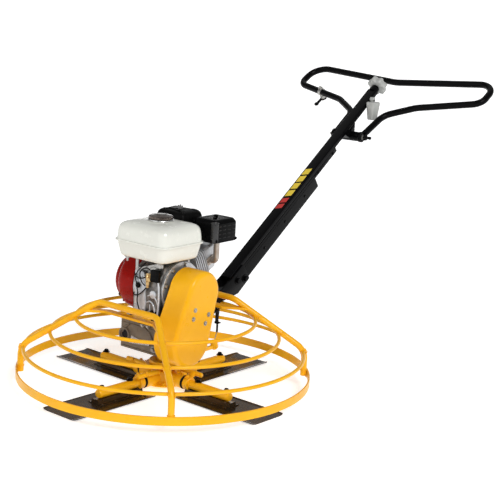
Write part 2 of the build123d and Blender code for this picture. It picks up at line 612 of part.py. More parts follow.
def build_handlebar():
    flat = [(x, y, 0) for x, y in handlebar_points()]
    radii = [70, 90, 46, 62, 160, 62, 46, 90, 70]
    bar = bent_tube(flat, radii, BAR_R, 2.5)
    trim = Plane.YZ * extrude(Circle(20), 80, both=True)
    bar -= trim
    for side in (-1, 1):
        eye = Plane(origin=(side * 60 - 6, 0, 0), z_dir=(1, 0, 0)) * extrude(Circle(20), 12)
        eye -= Plane(origin=(side * 60 - 7, 0, 0), z_dir=(1, 0, 0)) * extrude(Circle(5.4), 14)
        bar += eye
    keep("handlebar", BAR * bar)

    y, z = BAR_PIVOT
    cross = shaft_x(18, (-53.6, 53.6), y, z)
    gusset = POLE * plate_gusset()
    cross = cross + gusset
    cross -= shaft_x(5.4, (-60, 60), y, z)
    keep("handlebar_crosstube", cross)
    bolt = shaft_x(5, (-74, 80), y, z) + shaft_x(10, (-81, -66.4), y, z) + shaft_x(10, (66.4, 74), y, z)
    keep("fold_bolt", bolt)
    knob = shaft_x(12, (74.4, 84), y, z) - shaft_x(5.05, (74, 90), y, z) + shaft_x(6, (84, 104), y, z)
    keep("fold_knob", knob - shaft_x(5.05, (74, 81), y, z))

    # throttle lever clamped on the left arm of the bar
    inner, outer = handlebar_points()[-3], handlebar_points()[-4]
    direction = (Vector(*outer) - Vector(*inner)).normalized()
    clamp_at = Vector(*inner) + direction * THROTTLE_REACH
    frame = Plane(origin=clamp_at, z_dir=direction)
    ring = frame * (Pos(0, 0, -9) * (extrude(Circle(19), 18) - extrude(Circle(BAR_R), 18)))
    seat = Pos(clamp_at.X, clamp_at.Y, -28) * extrude(Circle(15), 10)
    keep("throttle_clamp", BAR * (ring + seat))
    arm = Pos(clamp_at.X, clamp_at.Y, -33.4) * extrude(Circle(14), 5)
    arm += Pos(clamp_at.X, clamp_at.Y, -33.4) * extrude(Pos(-6, -26) * RectangleRounded(12, 52, 5), 5)
    keep("throttle_lever", BAR * arm)


def plate_gusset():
    """Web between the pole's underside and the cross tube, in the pole's frame."""
    pivot = POLE.to_local_coords(Vector(0, BAR_PIVOT[0], BAR_PIVOT[1]))
    half = POLE_W / 2
    outline = [(POLE_D, pivot.Z - 34), (POLE_D, pivot.Z + 40), (pivot.Y, pivot.Z + 16)]
    outline += [(pivot.Y, pivot.Z - 17)]
    face = make_face(Polyline(*[(-half, d, s) for d, s in outline], close=True))
    return extrude(face, POLE_W, dir=(1, 0, 0))


build_guard()
build_gearbox()
build_worm_drive()
build_belt_drive()
build_rotor()
build_yoke()
build_engine_block()
build_engine_covers()
build_base_plate()
build_handle()
build_pitch_cable()
build_handlebar()

for node, shape in PARTS.items():
    export_step(shape, f"parts/{node}.step")
print(len(PARTS), "nodes")
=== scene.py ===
import math
import bmesh
import bpy
from mathutils import Matrix, Vector


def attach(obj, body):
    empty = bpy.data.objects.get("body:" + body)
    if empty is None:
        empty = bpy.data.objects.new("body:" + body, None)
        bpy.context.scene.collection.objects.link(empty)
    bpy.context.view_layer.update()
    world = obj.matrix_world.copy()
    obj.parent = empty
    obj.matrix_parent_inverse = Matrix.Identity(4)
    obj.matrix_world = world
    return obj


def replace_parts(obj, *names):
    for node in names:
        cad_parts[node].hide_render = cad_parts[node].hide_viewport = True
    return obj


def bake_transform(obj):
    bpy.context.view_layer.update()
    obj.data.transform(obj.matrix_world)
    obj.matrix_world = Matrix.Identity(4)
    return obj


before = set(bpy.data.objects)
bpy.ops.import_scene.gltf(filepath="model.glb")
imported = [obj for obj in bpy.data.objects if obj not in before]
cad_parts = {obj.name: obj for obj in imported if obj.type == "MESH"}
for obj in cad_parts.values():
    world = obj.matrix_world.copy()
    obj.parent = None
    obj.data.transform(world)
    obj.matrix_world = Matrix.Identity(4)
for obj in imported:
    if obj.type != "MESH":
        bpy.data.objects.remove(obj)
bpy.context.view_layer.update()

# Looks of a walk-behind power trowel.  Lengths in this script are in millimetres until a
# piece is finished, when it is scaled to metres.
# Frame: +Z up, origin on the rotor's axis at the floor, +Y to the handlebar, +X to the belt.
MM = 0.001
TAU = 2 * math.pi
UP, DOWN = (0, 0, 1), (0, 0, -1)
RIGHT, LEFT = (1, 0, 0), (-1, 0, 0)
FORWARD, BACKWARD = (0, -1, 0), (0, 1, 0)  # away from the operator, and towards them


# ---------------------------------------------------------------- frames
def place(origin, z=UP, x=None):
    """Matrix whose local Z runs along z, with its origin given in millimetres."""
    z = Vector(z).normalized()
    if x is None:
        x = RIGHT if abs(z.x) < 0.9 else BACKWARD
    x = Vector(x)
    x = (x - z * x.dot(z)).normalized()
    matrix = Matrix((x, z.cross(x), z)).transposed().to_4x4()
    matrix.translation = Vector(origin)
    return matrix


def tilted(origin, degrees):
    """Frame with x across the machine and z rising towards the operator."""
    a = math.radians(degrees)
    return place(origin, (0, math.cos(a), math.sin(a)), RIGHT)


CRANK_Z = 342                             # height of the crankshaft, which lies at y 0
CRANK = (0, CRANK_Z)                      # y, z of the crankshaft
WORM = (-50, 195)                         # y, z of the worm shaft
ARM_Z = 33                                # height of the arms' axes
FOLD_Y, FOLD_Z = 1003, 776                # pivot that the operator's bar folds about
POLE_SIDE = 21                            # half the width of the pole and its channel
WORLD = Matrix.Identity(4)
POLE = tilted((0, 299, 327), 36)          # z along the pole, y down through its depth
CYL = tilted((-5, 0, CRANK_Z), 25)        # z along the cylinder's bore
BLADE_BOLTS = (158, 279)                  # how far out the bolts stand along an arm
BAR_LEAN = math.radians(31)
BAR = place((0, FOLD_Y, FOLD_Z), (0, -math.sin(BAR_LEAN), math.cos(BAR_LEAN)), RIGHT)


def along_x(x, y, z, direction=1):
    """Frame whose local Z runs along the machine's X, or against it."""
    return place((x, y, z), (direction, 0, 0), (0, direction, 0))


def sideways(x, y, z, side=1):
    """Frame facing outwards to one side, with its x towards the operator."""
    return place((x, y, z), (side, 0, 0), BACKWARD)


def ahead(x, y, z):
    """Frame facing forwards, with its y upwards."""
    return place((x, y, z), FORWARD, RIGHT)


# ---------------------------------------------------------------- outlines
def polar(radius, angle):
    return radius * math.cos(angle), radius * math.sin(angle)


def disc(radius, count=32):
    return [polar(radius, TAU * i / count) for i in range(count)]


def hexagon(flats):
    return disc(flats / math.sqrt(3), 6)


def lift(outline, height):
    """Flat outline as a ring at a height."""
    return [(x, y, height) for x, y in outline]


def inset_rings(outline, levels):
    """Rings of an outline, each moved inwards by a distance, from (distance, height) pairs."""
    return [lift(inset(outline, distance), height) for distance, height in levels]


def rounded(x, y, radius, steps=7):
    """Rectangle from low to high on each axis, with rounded corners."""
    radius = min(radius, (x[1] - x[0]) / 2 - 0.01, (y[1] - y[0]) / 2 - 0.01)
    centres = (
        (x[1] - radius, y[1] - radius, 0),
        (x[0] + radius, y[1] - radius, 1),
        (x[0] + radius, y[0] + radius, 2),
        (x[1] - radius, y[0] + radius, 3),
    )
    points = []
    for cx, cy, quarter in centres:
        for i in range(steps + 1):
            a = math.pi / 2 * (quarter + i / steps)
            points.append((cx + radius * math.cos(a), cy + radius * math.sin(a)))
    return points


def fluted(radius, depth, lobes, count, height, scale=1):
    """Ring with a wavy rim, as on a knob or a cap."""
    ring = []
    for k in range(count):
        a = TAU * k / count
        ring.append((*polar((radius + depth * math.cos(lobes * a)) * scale, a), height))
    return ring


def block_outline(hx, hy, radius, steps=7, cx=0, cy=0):
    return rounded((cx - hx, cx + hx), (cy - hy, cy + hy), radius, steps)


def round_polygon(points, radii, steps=5):
    """Polygon with each corner turned into an arc."""
    if not isinstance(radii, (list, tuple)):
        radii = [radii] * len(points)
    out = []
    count = len(points)
    for i, (p, radius) in enumerate(zip(points, radii)):
        p = Vector(p).to_2d()
        before = (Vector(points[i - 1]).to_2d() - p)
        after = (Vector(points[(i + 1) % count]).to_2d() - p)
        turn = math.pi - before.angle(after)
        reach = radius * math.tan(turn / 2)
        limit = 0.49 * min(before.length, after.length)
        if reach > limit:
            radius *= limit / reach
            reach = limit
        if radius < 0.01:
            out.append(tuple(p))
            continue
        start = p + before.normalized() * reach
        end = p + after.normalized() * reach
        for k in range(steps + 1):
            t = k / steps
            out.append(tuple(start * (1 - t) ** 2 + p * 2 * t * (1 - t) + end * t * t))
    return out


def belt_outline(top, bottom, count=72):
    """Loop of (y, z) points round the crankshaft and the worm shaft."""
    (ay, az), (by, bz) = CRANK, WORM
    span = math.hypot(ay - by, az - bz)
    lean = math.atan2(az - bz, ay - by)
    opening = math.acos((bottom - top) / span)
    points = []
    half = count // 2
    wide = math.pi - opening
    arcs = ((ay, az, top, lean - wide, wide), (by, bz, bottom, lean + wide, opening))
    for y, z, radius, start, sweep in arcs:
        for i in range(half + 1):
            a = start + 2 * sweep * i / half
            points.append((y + radius * math.cos(a), z + radius * math.sin(a)))
    return points


def inset(outline, distance):
    """Outline moved inwards by a distance (anticlockwise outlines shrink)."""
    out = []
    count = len(outline)
    for i in range(count):
        a, p, b = Vector(outline[i - 1]), Vector(outline[i]), Vector(outline[(i + 1) % count])
        u, v = (p - a), (b - p)
        if u.length < 1e-6 or v.length < 1e-6:
            out.append(tuple(p))
            continue
        u.normalize()
        v.normalize()
        normal = Vector((-u.y, u.x)) + Vector((-v.y, v.x))
        if normal.length < 1e-6:
            out.append(tuple(p))
            continue
        normal.normalize()
        scale = max(0.35, normal.dot(Vector((-v.y, v.x))))
        out.append(tuple(p + normal * distance / scale))
    return out


# ---------------------------------------------------------------- mesh building
class Shape:
    """A mesh built up in millimetres from turned, lofted and swept forms."""

    def __init__(self):
        self.bm = bmesh.new()

    def loft(self, rings, at=WORLD, caps=(True, True), closed=False):
        """Skin over rings of (x, y, z) points that all have the same count."""
        made = [[self.bm.verts.new(at @ Vector(p)) for p in ring] for ring in rings]
        pairs = list(zip(made, made[1:]))
        if closed:
            pairs.append((made[-1], made[0]))
        for a, b in pairs:
            self.band(a, b)
        if not closed:
            if caps[0] and len(made[0]) > 2:
                self.bm.faces.new(list(reversed(made[0])))
            if caps[1] and len(made[-1]) > 2:
                self.bm.faces.new(made[-1])

    def band(self, a, b):
        """Faces between two rings, either of which may be a single point."""
        count = max(len(a), len(b))
        if count == 1:
            return
        for i in range(count):
            k = (i + 1) % count
            if len(a) == 1:
                corners = (a[0], b[k], b[i])
            elif len(b) == 1:
                corners = (a[i], a[k], b[0])
            else:
                corners = (a[i], a[k], b[k], b[i])
            self.bm.faces.new(corners)

    def lathe(self, profile, at=WORLD, count=40, closed=False):
        """Profile of (radius, height) pairs turned about local Z."""
        rings = [lift(disc(r, count), h) if r else [(0, 0, h)] for r, h in profile]
        self.loft(rings, at, closed=closed)

    def prism(self, outline, z, at=WORLD, bevel=1.0):
        """Outline extruded along local Z with rounded rims."""
        low = [(0, z[0])]
        high = [(0, z[1])]
        if bevel:
            turns = [(math.cos(math.pi / 4 * i), math.sin(math.pi / 4 * i)) for i in range(3)]
            low = [(bevel * (1 - sine), z[0] + bevel * (1 - cosine)) for cosine, sine in turns]
            high = [(bevel * (1 - cosine), z[1] - bevel * (1 - sine)) for cosine, sine in turns]
        self.loft([lift(inset(outline, d) if d else outline, h) for d, h in low + high], at)

    def tube(self, points, radius, count=12, closed=False, smooth=0):
        """Round bar along a line of points."""
        points = [Vector(p) for p in points]
        if smooth:
            points = curve_through(points, smooth)
        total = len(points)
        side = None
        rings = []
        for i, p in enumerate(points):
            if closed:
                along = points[(i + 1) % total] - points[i - 1]
            else:
                along = points[min(i + 1, total - 1)] - points[max(i - 1, 0)]
            along.normalize()
            if side is None:
                side = along.orthogonal().normalized()
            side = (side - along * side.dot(along)).normalized()
            other = along.cross(side)
            rings.append([tuple(p + (side * x + other * y) * radius) for x, y in disc(1, count)])
        self.loft(rings, closed=closed)

    def bolt(self, at, flats=13, height=6, washer=True, stud=0.0):
        """Hex head on a washer, standing on local Z = 0."""
        base = 0
        if washer:
            rim = flats * 0.92
            self.lathe([(0, 0), (rim, 0), (flats * 0.95, 0.5), (rim, 1.6), (0, 1.6)], at, 24)
            base = 1.6
        shoulder = base + height * 0.8
        top = base + height
        self.prism(hexagon(flats), (base, shoulder), at, 0.0)
        self.loft([lift(hexagon(flats), shoulder), lift(hexagon(flats * 0.86), top)], at)
        if stud:
            r, end = flats / 2, top + stud
            self.lathe([(0, top), (r * 0.6, top), (r * 0.6, end - 1), (r * 0.45, end), (0, end)], at, 14)

    def dome_screw(self, at, radius=5, height=3):
        profile = [(0, 0), (radius, 0), (radius, height * 0.35), (radius * 0.85, height * 0.75)]
        self.lathe(profile + [(radius * 0.5, height), (0, height)], at, 20)

    def mesh(self, name, weld=True):
        """Turn the form into a mesh in metres."""
        if weld:
            bmesh.ops.remove_doubles(self.bm, verts=self.bm.verts, dist=0.01)
        bmesh.ops.recalc_face_normals(self.bm, faces=self.bm.faces)
        self.bm.transform(Matrix.Scale(MM, 4))
        mesh = bpy.data.meshes.new(name)
        self.bm.to_mesh(mesh)
        self.bm.free()
        return mesh

    def piece(self, name, look, smooth=32, body="chassis"):
        """Finish the mesh: shaded, coloured, riding on its body."""
        return finish_piece(name, self.mesh(name), body, look, smooth)

    def cord(self, name, look):
        mesh = self.mesh(name, weld=False)
        for face in mesh.polygons:
            face.use_smooth = True
        mesh.materials.append(LOOKS[look][0])
        obj = add_object(name, mesh)
        return obj


def add_object(name, data):
    obj = bpy.data.objects.new(name, data)
    bpy.context.scene.collection.objects.link(obj)
    return obj


def finish_piece(name, mesh, body, look, smooth=32):
    for face in mesh.polygons:
        face.use_smooth = True
    mesh.set_sharp_from_angle(angle=math.radians(smooth))
    mesh.materials.clear()
    mesh.materials.append(LOOKS[look][0])
    obj = add_object(name, mesh)
    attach(obj, body)
    return obj


def curve_through(points, steps):
    """Smooth line through the points (Catmull-Rom)."""
    out = []
    last = len(points) - 1
    for i in range(last):
        p0 = points[max(i - 1, 0)]
        p1, p2 = points[i], points[i + 1]
        p3 = points[min(i + 2, last)]
        bend = 2 * p0 - 5 * p1 + 4 * p2 - p3
        twist = 3 * p1 - p0 - 3 * p2 + p3
        for k in range(steps):
            t = k / steps
            out.append(0.5 * ((2 * p1) + (p2 - p0) * t + bend * t * t + twist * t ** 3))
    out.append(points[-1])
    return out


def cast(name, node, body, look, voxel=1.5, passes=4, smooth=50):
    """Stand-in for a CAD node with every edge rounded as a casting's edges are."""
    obj = add_object(name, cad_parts[node].data.copy())
    remesh = obj.modifiers.new("voxels", "REMESH")
    remesh.mode = "VOXEL"
    remesh.voxel_size = voxel * MM
    soften = obj.modifiers.new("soften", "SMOOTH")
    soften.iterations = passes
    soften.factor = 0.5
    graph = bpy.context.evaluated_depsgraph_get()
    done = bpy.data.meshes.new_from_object(obj.evaluated_get(graph))
    bpy.data.objects.remove(obj)
    piece = finish_piece(name, done, body, look, smooth)
    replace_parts(piece, node)
    return piece


# ---------------------------------------------------------------- materials
def tree_of(name):
    material = bpy.data.materials.new(name)
    material.use_nodes = True
    tree = material.node_tree
    tree.nodes.clear()
    output = tree.nodes.new("ShaderNodeOutputMaterial")
    shader = tree.nodes.new("ShaderNodeBsdfPrincipled")
    tree.links.new(shader.outputs[0], output.inputs[0])
    where = tree.nodes.new("ShaderNodeTexCoord")
    return material, tree, shader, where.outputs["Object"]


def noise(tree, where, scale, detail=4, stretch=None, rough=0.55):
    if stretch:
        mapping = tree.nodes.new("ShaderNodeMapping")
        mapping.inputs["Scale"].default_value = stretch
        tree.links.new(where, mapping.inputs["Vector"])
        where = mapping.outputs[0]
    node = tree.nodes.new("ShaderNodeTexNoise")
    node.inputs["Scale"].default_value = scale
    node.inputs["Detail"].default_value = detail
    node.inputs["Roughness"].default_value = rough
    tree.links.new(where, node.inputs["Vector"])
    return node.outputs["Fac"]


def spread(tree, value, low, high, out_low, out_high):
    node = tree.nodes.new("ShaderNodeMapRange")
    for socket, number in zip(("From Min", "From Max", "To Min", "To Max"), (low, high, out_low, out_high)):
        node.inputs[socket].default_value = number
    tree.links.new(value, node.inputs["Value"])
    return node.outputs["Result"]


def mix(tree, factor, a, b):
    node = tree.nodes.new("ShaderNodeMix")
    node.data_type = "RGBA"
    tree.links.new(factor, node.inputs["Factor"])
    for socket, value in ((node.inputs[6], a), (node.inputs[7], b)):
        if isinstance(value, tuple):
            socket.default_value = (*value, 1)
        else:
            tree.links.new(value, socket)
    return node.outputs[2]


def bump(tree, shader, layers):
    """Layers of (height output, strength, distance in mm)."""
    normal = None
    for height, strength, distance in layers:
        node = tree.nodes.new("ShaderNodeBump")
        node.inputs["Strength"].default_value = strength
        node.inputs["Distance"].default_value = distance * MM
        tree.links.new(height, node.inputs["Height"])
        if normal:
            tree.links.new(normal, node.inputs["Normal"])
        normal = node.outputs["Normal"]
    tree.links.new(normal, shader.inputs["Normal"])


def surface(name, slot, base, second, patch=14, rough=(0.3, 0.45), metallic=0.0, coat=0.0,
            grain=900, grain_depth=0.05, wave=40, wave_depth=0.25, stretch=None, dirt_and_shade=None, glint=0.5):
    """General finish: two tones in soft patches, uneven gloss, fine grain and slow waves, with optional
    darker patches: dirt on most finishes, painted shade on the crankcase's shaded copy.
    """
    material, tree, shader, where = tree_of(name)
    tone = spread(tree, noise(tree, where, patch, 5), 0.35, 0.65, 0, 1)
    colour = mix(tree, tone, base, second)
    if dirt_and_shade:
        # darker noise patches: dirt on most finishes, painted shade and painted reflection on the
        # crankcase's shaded copy of the aluminium
        grime_and_shade = noise(tree, where, 55, 8, None, 0.7)
        colour = mix(tree, spread(tree, grime_and_shade, 0.58, 0.75, 0, dirt_and_shade[1]), colour, dirt_and_shade[0])
    tree.links.new(colour, shader.inputs["Base Color"])
    gloss = noise(tree, where, patch * 3.1, 6, stretch, 0.65)
    tree.links.new(spread(tree, gloss, 0.3, 0.7, *rough), shader.inputs["Roughness"])
    shader.inputs["Metallic"].default_value = metallic
    shader.inputs["Specular IOR Level"].default_value = glint
    shader.inputs["Coat Weight"].default_value = coat
    shader.inputs["Coat Roughness"].default_value = 0.12
    fine = noise(tree, where, grain, 3, stretch)
    slow = noise(tree, where, wave, 3)
    bump(tree, shader, [(slow, wave_depth, 0.4), (fine, grain_depth, 0.3)])
    LOOKS[name] = (material, slot)


LOOKS = {}
CASTING = {"grain": 420, "grain_depth": 0.5, "wave": 90, "wave_depth": 0.3}
surface("enamel_yellow", "yellow_paint", (0.87, 0.42, 0.005), (0.93, 0.475, 0.008), 9, (0.26, 0.38),
    coat=0.12, grain=700, grain_depth=0.04, glint=0.2, dirt_and_shade=((0.74, 0.33, 0.01), 0.25))
surface("enamel_black", "black_paint", (0.0018, 0.0018, 0.002), (0.003, 0.003, 0.0034), 20, (0.16, 0.26),
    grain=800, grain_depth=0.04, glint=0.06)
surface("gloss_red", "red_paint", (0.27, 0.005, 0.003), (0.33, 0.008, 0.004), 12, (0.18, 0.3), grain=600,
    grain_depth=0.03, glint=0.07)
surface("gloss_white", "white_paint", (0.71, 0.715, 0.65), (0.76, 0.765, 0.70), 7, (0.2, 0.3), coat=0.35,
    grain=500, grain_depth=0.02)
surface("blade_steel", "blade_steel", (0.036, 0.023, 0.012), (0.062, 0.040, 0.020), 7, (0.16, 0.26),
    metallic=0.5, grain=400, grain_depth=0.05, wave=14, wave_depth=0.35, dirt_and_shade=((0.085, 0.055, 0.03), 0.35))
surface("cast_dark", "dark_casting", (0.135, 0.108, 0.08), (0.195, 0.16, 0.12), 25, (0.45, 0.62),
    metallic=0.35, dirt_and_shade=((0.07, 0.06, 0.055), 0.6), **CASTING)
surface("cast_aluminium", "engine_aluminium", (0.44, 0.45, 0.46), (0.56, 0.57, 0.58), 30, (0.3, 0.46),
    metallic=0.75, grain=520, grain_depth=0.35, wave=80, wave_depth=0.2, dirt_and_shade=((0.22, 0.21, 0.20), 0.5))
surface("machined", "bearing_steel", (0.48, 0.48, 0.48), (0.6, 0.6, 0.6), 60, (0.2, 0.32), metallic=0.95,
    grain=900, grain_depth=0.1, stretch=(1, 1, 8))
surface("zinc", "bearing_steel", (0.36, 0.355, 0.34), (0.46, 0.45, 0.43), 90, (0.22, 0.35), metallic=0.9,
    grain=900, grain_depth=0.12)
surface("bronze", "bronze", (0.55, 0.36, 0.15), (0.62, 0.43, 0.2), 60, (0.25, 0.4), metallic=0.95,
    grain=700, grain_depth=0.1)
surface("iron", "pulley_iron", (0.2, 0.195, 0.19), (0.28, 0.275, 0.27), 50, (0.3, 0.45), metallic=0.8,
    grain=600, grain_depth=0.3)
surface("rubber", "belt_rubber", (0.007, 0.007, 0.007), (0.012, 0.012, 0.012), 60, (0.45, 0.65), grain=900,
    grain_depth=0.3, glint=0.15)
surface("plastic_black", "black_plastic", (0.0025, 0.0025, 0.0025), (0.005, 0.0048, 0.0048), 40,
    (0.24, 0.36), grain=1100, grain_depth=0.2, glint=0.05)
# lighter, glossier copy of the black paint, for the muffler guard's front corner: painted highlight
surface("black_paint_painted_highlight", "black_paint", (0.01, 0.01, 0.01), (0.016, 0.016, 0.016), 30, (0.24, 0.34),
    grain=900, grain_depth=0.1, glint=0.6)
surface("plastic_grey", "grey_plastic", (0.36, 0.365, 0.35), (0.42, 0.425, 0.41), 40, (0.38, 0.52),
    grain=1000, grain_depth=0.2)
# shaded copy of the engine's aluminium for the crankcase: a very dark, warm base with strong light and dark
# patches and brown darkening, as painted shade and painted reflection
surface("cast_aluminium_painted_shade", "engine_aluminium", (0.07, 0.066, 0.062), (0.27, 0.265, 0.26), 46, (0.26, 0.44),
    metallic=0.6, dirt_and_shade=((0.06, 0.045, 0.035), 0.7), **CASTING)
# dark brown base on the fuel cap's chrome: painted reflection of dark surroundings
surface("cap_chrome_painted_reflection", "bearing_steel", (0.055, 0.043, 0.036), (0.13, 0.108, 0.094), 55, (0.1, 0.2),
    metallic=0.95, grain=800, grain_depth=0.03)
surface("heat_tint", "exhaust_steel", (0.36, 0.30, 0.25), (0.48, 0.43, 0.38), 45, (0.28, 0.42),
    metallic=0.85, grain=600, grain_depth=0.1)
surface("chrome", "bearing_steel", (0.72, 0.72, 0.71), (0.86, 0.86, 0.85), 30, (0.2, 0.3), metallic=0.9,
    grain=800, grain_depth=0.02)
surface("jacket", "cable_jacket", (0.008, 0.008, 0.008), (0.014, 0.014, 0.014), 90, (0.35, 0.5), grain=900,
    grain_depth=0.2, glint=0.15)
# lighter, less metallic copy of the engine's aluminium for the cylinder, the crankcase's ribs, the side
# cover's rim, the blower flange and the shroud web: painted highlight
surface("cast_aluminium_painted_highlight", "engine_aluminium", (0.50, 0.53, 0.57), (0.68, 0.70, 0.73), 30, (0.26, 0.42),
    metallic=0.35, grain=520, grain_depth=0.3, wave=80, wave_depth=0.2, dirt_and_shade=((0.3, 0.3, 0.3), 0.4))
surface("stripe_red", "red_paint", (0.45, 0.015, 0.012), (0.5, 0.02, 0.015), 30, (0.3, 0.4))
surface("stripe_yellow", "yellow_paint", (0.72, 0.52, 0.03), (0.78, 0.57, 0.04), 30, (0.3, 0.4))


# ---------------------------------------------------------------- guard ring
LEG_R = 470.5                             # radius of the legs' feet from the rotor's axis
LEG_BEND_Z, LEG_TOP_Z, LEG_TOP_X = 129, 291, 128
FRONT_TOP, REAR_TOP = -184, 192           # y of the front and rear top tubes


def leg_point(side, rear, height):
    """Centre of a leg at a height."""
    foot = LEG_R / math.sqrt(2)
    share = max(0.0, (height - LEG_BEND_Z) / (LEG_TOP_Z - LEG_BEND_Z))
    top = REAR_TOP if rear else FRONT_TOP
    start = foot if rear else -foot
    return Vector((side * (foot + share * (LEG_TOP_X - foot)), start + share * (top - start), height))


def bead(shape, at, radius, thick=2.4, count=28):
    """Weld bead: a ring with the ripple of the welder's passes."""
    rings = []
    for i in range(count):
        a = TAU * i / count
        ripple = 1 + 0.16 * math.sin(9 * a) + 0.08 * math.sin(23 * a + 1)
        out = Vector((*polar(1, a), 0))
        section = disc(thick * ripple, 8)
        rings.append([tuple(out * (radius + x) + Vector((0, 0, y))) for x, y in section])
    shape.loft(rings, at, closed=True)


def build_guard():
    rings = Shape()
    beads = Shape()
    for radius, height in ((462, 124.6), (377, 179.5), (296, 231)):
        rings.tube(lift(disc(radius, 160), height), 6, 14, closed=True)
        for side in (-1, 1):
            for rear in (False, True):
                centre = leg_point(side, rear, height)
                around = Vector((-centre.y, centre.x, 0)).normalized()
                for way in (-1, 1):
                    bead(beads, place(centre + around * way * 10.2, around), 6.2, 1.8)
    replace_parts(rings.piece("guard_rings", "enamel_yellow", 60), "guard_rods")
    foot = LEG_R / math.sqrt(2)
    for sx in (-1, 1):
        for sy in (-1, 1):
            out = Vector((sx, sy, 0)).normalized()
            bead(beads, place((sx * foot, sy * foot, 60)), 10.8, 2.2, 36)
            for way in (-1, 1):
                side = Vector((-out.y, out.x, 0)) * way
                start = Vector((sx * foot, sy * foot, 38)) + side * 9 + out * 7.5
                climb = [Vector((0, 0, 4 * k)) + out * 0.5 * (k % 2) for k in range(6)]
                beads.tube([start + step for step in climb], 2.2, 8)
    beads.piece("guard_weld_beads", "enamel_yellow", 70)
    bolts = Shape()
    nuts = Shape()
    for x, y in ((-4, -107), (20, -107), (-55, 172), (55, 172)):
        bolts.bolt(place((x, y, 264)), 13, 8, stud=5)
        nuts.bolt(place((x, y, 231), DOWN), 13, 8, stud=4)
    bolts.piece("guard_bolts", "zinc")
    nuts.piece("guard_nuts", "zinc")


# ---------------------------------------------------------------- rotor
def arm_frame(i):
    """Frame whose x runs out along arm i."""
    return place((0, 0, 0), UP, (*polar(1, math.radians(-2 + 90 * i)), 0))


def build_blade(i):
    """Combination blade: flat sole with both long edges turned up a little."""
    turn = arm_frame(i)
    plate = Shape()
    half, thick = 75, 2.6
    edge = [(half, 3.4), (72, 2.0), (67, 0.8), (60, 0.15), (50, 0)]
    across = [(-y, z) for y, z in edge] + [(0, 0)] + edge[::-1]
    ends = [(107, 5), (109, 1.6), (113, 0), (200, 0), (300, 0), (400, 0), (451, 0), (455, 1.6), (457, 5)]
    rings = []
    for x, pull in ends:
        under = [(x, y * (half - pull) / half, z) for y, z in across]
        over = [(x, y, z + thick) for x, y, z in reversed(under)]
        rings.append(under + over)
    plate.loft(rings, turn)
    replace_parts(plate.piece(f"blade_sole_{i + 1}", "blade_steel", 40, body=f"arm_{i + 1}"),
        f"trowel_blade_{i + 1}")
    rib = Shape()
    left = [(-30, 2.7), (-30, 4.6), (-15.5, 5.2), (-13, 17.6)]
    radii = [0.8, 1.5, 3, 3]
    outline = round_polygon(left + [(-x, y) for x, y in left[::-1]], radii + radii[::-1], 4)
    rib.prism(outline, (0, 196), turn @ sideways(112, 0, 0), 0.8)
    rib.piece(f"blade_backing_{i + 1}", "blade_steel", 35, body=f"arm_{i + 1}")
    rivets = Shape()
    for x in (128, 185, 240, 296):
        for y in (-23, 23):
            rivets.dome_screw(turn @ place((x, y, 4.6)), 4.5, 2.2)
    rivets.piece(f"blade_rivets_{i + 1}", "blade_steel", 50, body=f"arm_{i + 1}")


def build_arm(i):
    turn = arm_frame(i)
    axis = turn @ sideways(0, 0, ARM_Z)
    body = f"arm_{i + 1}"
    bar = Shape()
    profile = [(0, 42), (13.5, 42), (14.8, 44), (14.95, 60), (14.95, 126), (15.2, 128)]
    profile += [(15.2, 288), (14.6, 292), (12.6, 295.4), (10.5, 296), (0, 296)]
    bar.lathe(profile, axis, 40)
    bar.lathe([(15, 104), (21, 104), (22, 105.2), (22, 122.8), (21, 124), (15, 124)], axis, 40)
    # split ears of the lever's clamp, and the finger that the pressure plate bears on
    ear = [(2, 14), (29, 26), (34, 24), (35.5, 30), (33, 35), (26, 38), (19, 36.5), (10, 24), (-2, 21)]
    bar.prism(round_polygon(ear, 2.5), (105, 123), axis, 1.4)
    finger = [(0, 50), (3.5, 50.4), (6.2, 52), (7.6, 55), (8, 59)]
    finger += [(8, 144), (7.2, 147), (5.5, 148), (0, 148)]
    bar.lathe(finger, turn @ sideways(0, 26, 63), 28)
    for x in BLADE_BOLTS:
        pad = turn @ place((x, 0, ARM_Z))
        bar.lathe([(0, 12), (9.5, 12), (9.5, 15.4), (8.8, 16.2), (0, 16.2)], pad, 28)
    piece = bar.piece(f"arm_and_lever_{i + 1}", "enamel_yellow", 38, body=body)
    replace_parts(piece, f"trowel_arm_{i + 1}")
    bolts = Shape()
    for x in BLADE_BOLTS:
        bolts.bolt(turn @ place((x, 0, ARM_Z + 16.2)), 13, 7.5)
    bolts.piece(f"blade_bolts_{i + 1}", "plastic_black", body=body)
    clamp = Shape()
    clamp.bolt(turn @ place((114, -6, 54.2)), 11, 6, stud=2)
    clamp.bolt(turn @ place((114, 31, 62), (0, 0.25, 1)), 10, 6, stud=6)
    nipple = [(0, 0), (3, 0), (3, 3), (2, 4), (3, 5), (3, 6.5), (1.5, 8), (0, 8)]
    clamp.lathe(nipple, turn @ place((88, -2, 56), (0.2, 0, 1)), 16)
    clamp.piece(f"arm_fasteners_{i + 1}", "enamel_yellow", body=body)
    seal = Shape()
    seal.lathe([(15.2, 94.4), (21.5, 94.4), (23.2, 96), (23.2, 98.4), (21, 100), (15.2, 100)], axis, 36)
    seal.piece(f"arm_seal_{i + 1}", "rubber", 40, body=body)


def build_rotor():
    cast("spider_casting", "spider_hub", "rotor", "enamel_yellow", 1.6, 5)
    extra = Shape()
    for i in range(4):
        turn = arm_frame(i)
        extra.bolt(turn @ place((70, 0, 55.2)), 12, 6, stud=2)
        half = arm_frame(i) @ Matrix.Rotation(math.radians(45), 4, "Z")
        extra.bolt(half @ place((56, 0, 15)), 12, 7)
    extra.piece("spider_set_screws", "enamel_yellow", body="rotor")
    for i in range(4):
        build_blade(i)
        build_arm(i)


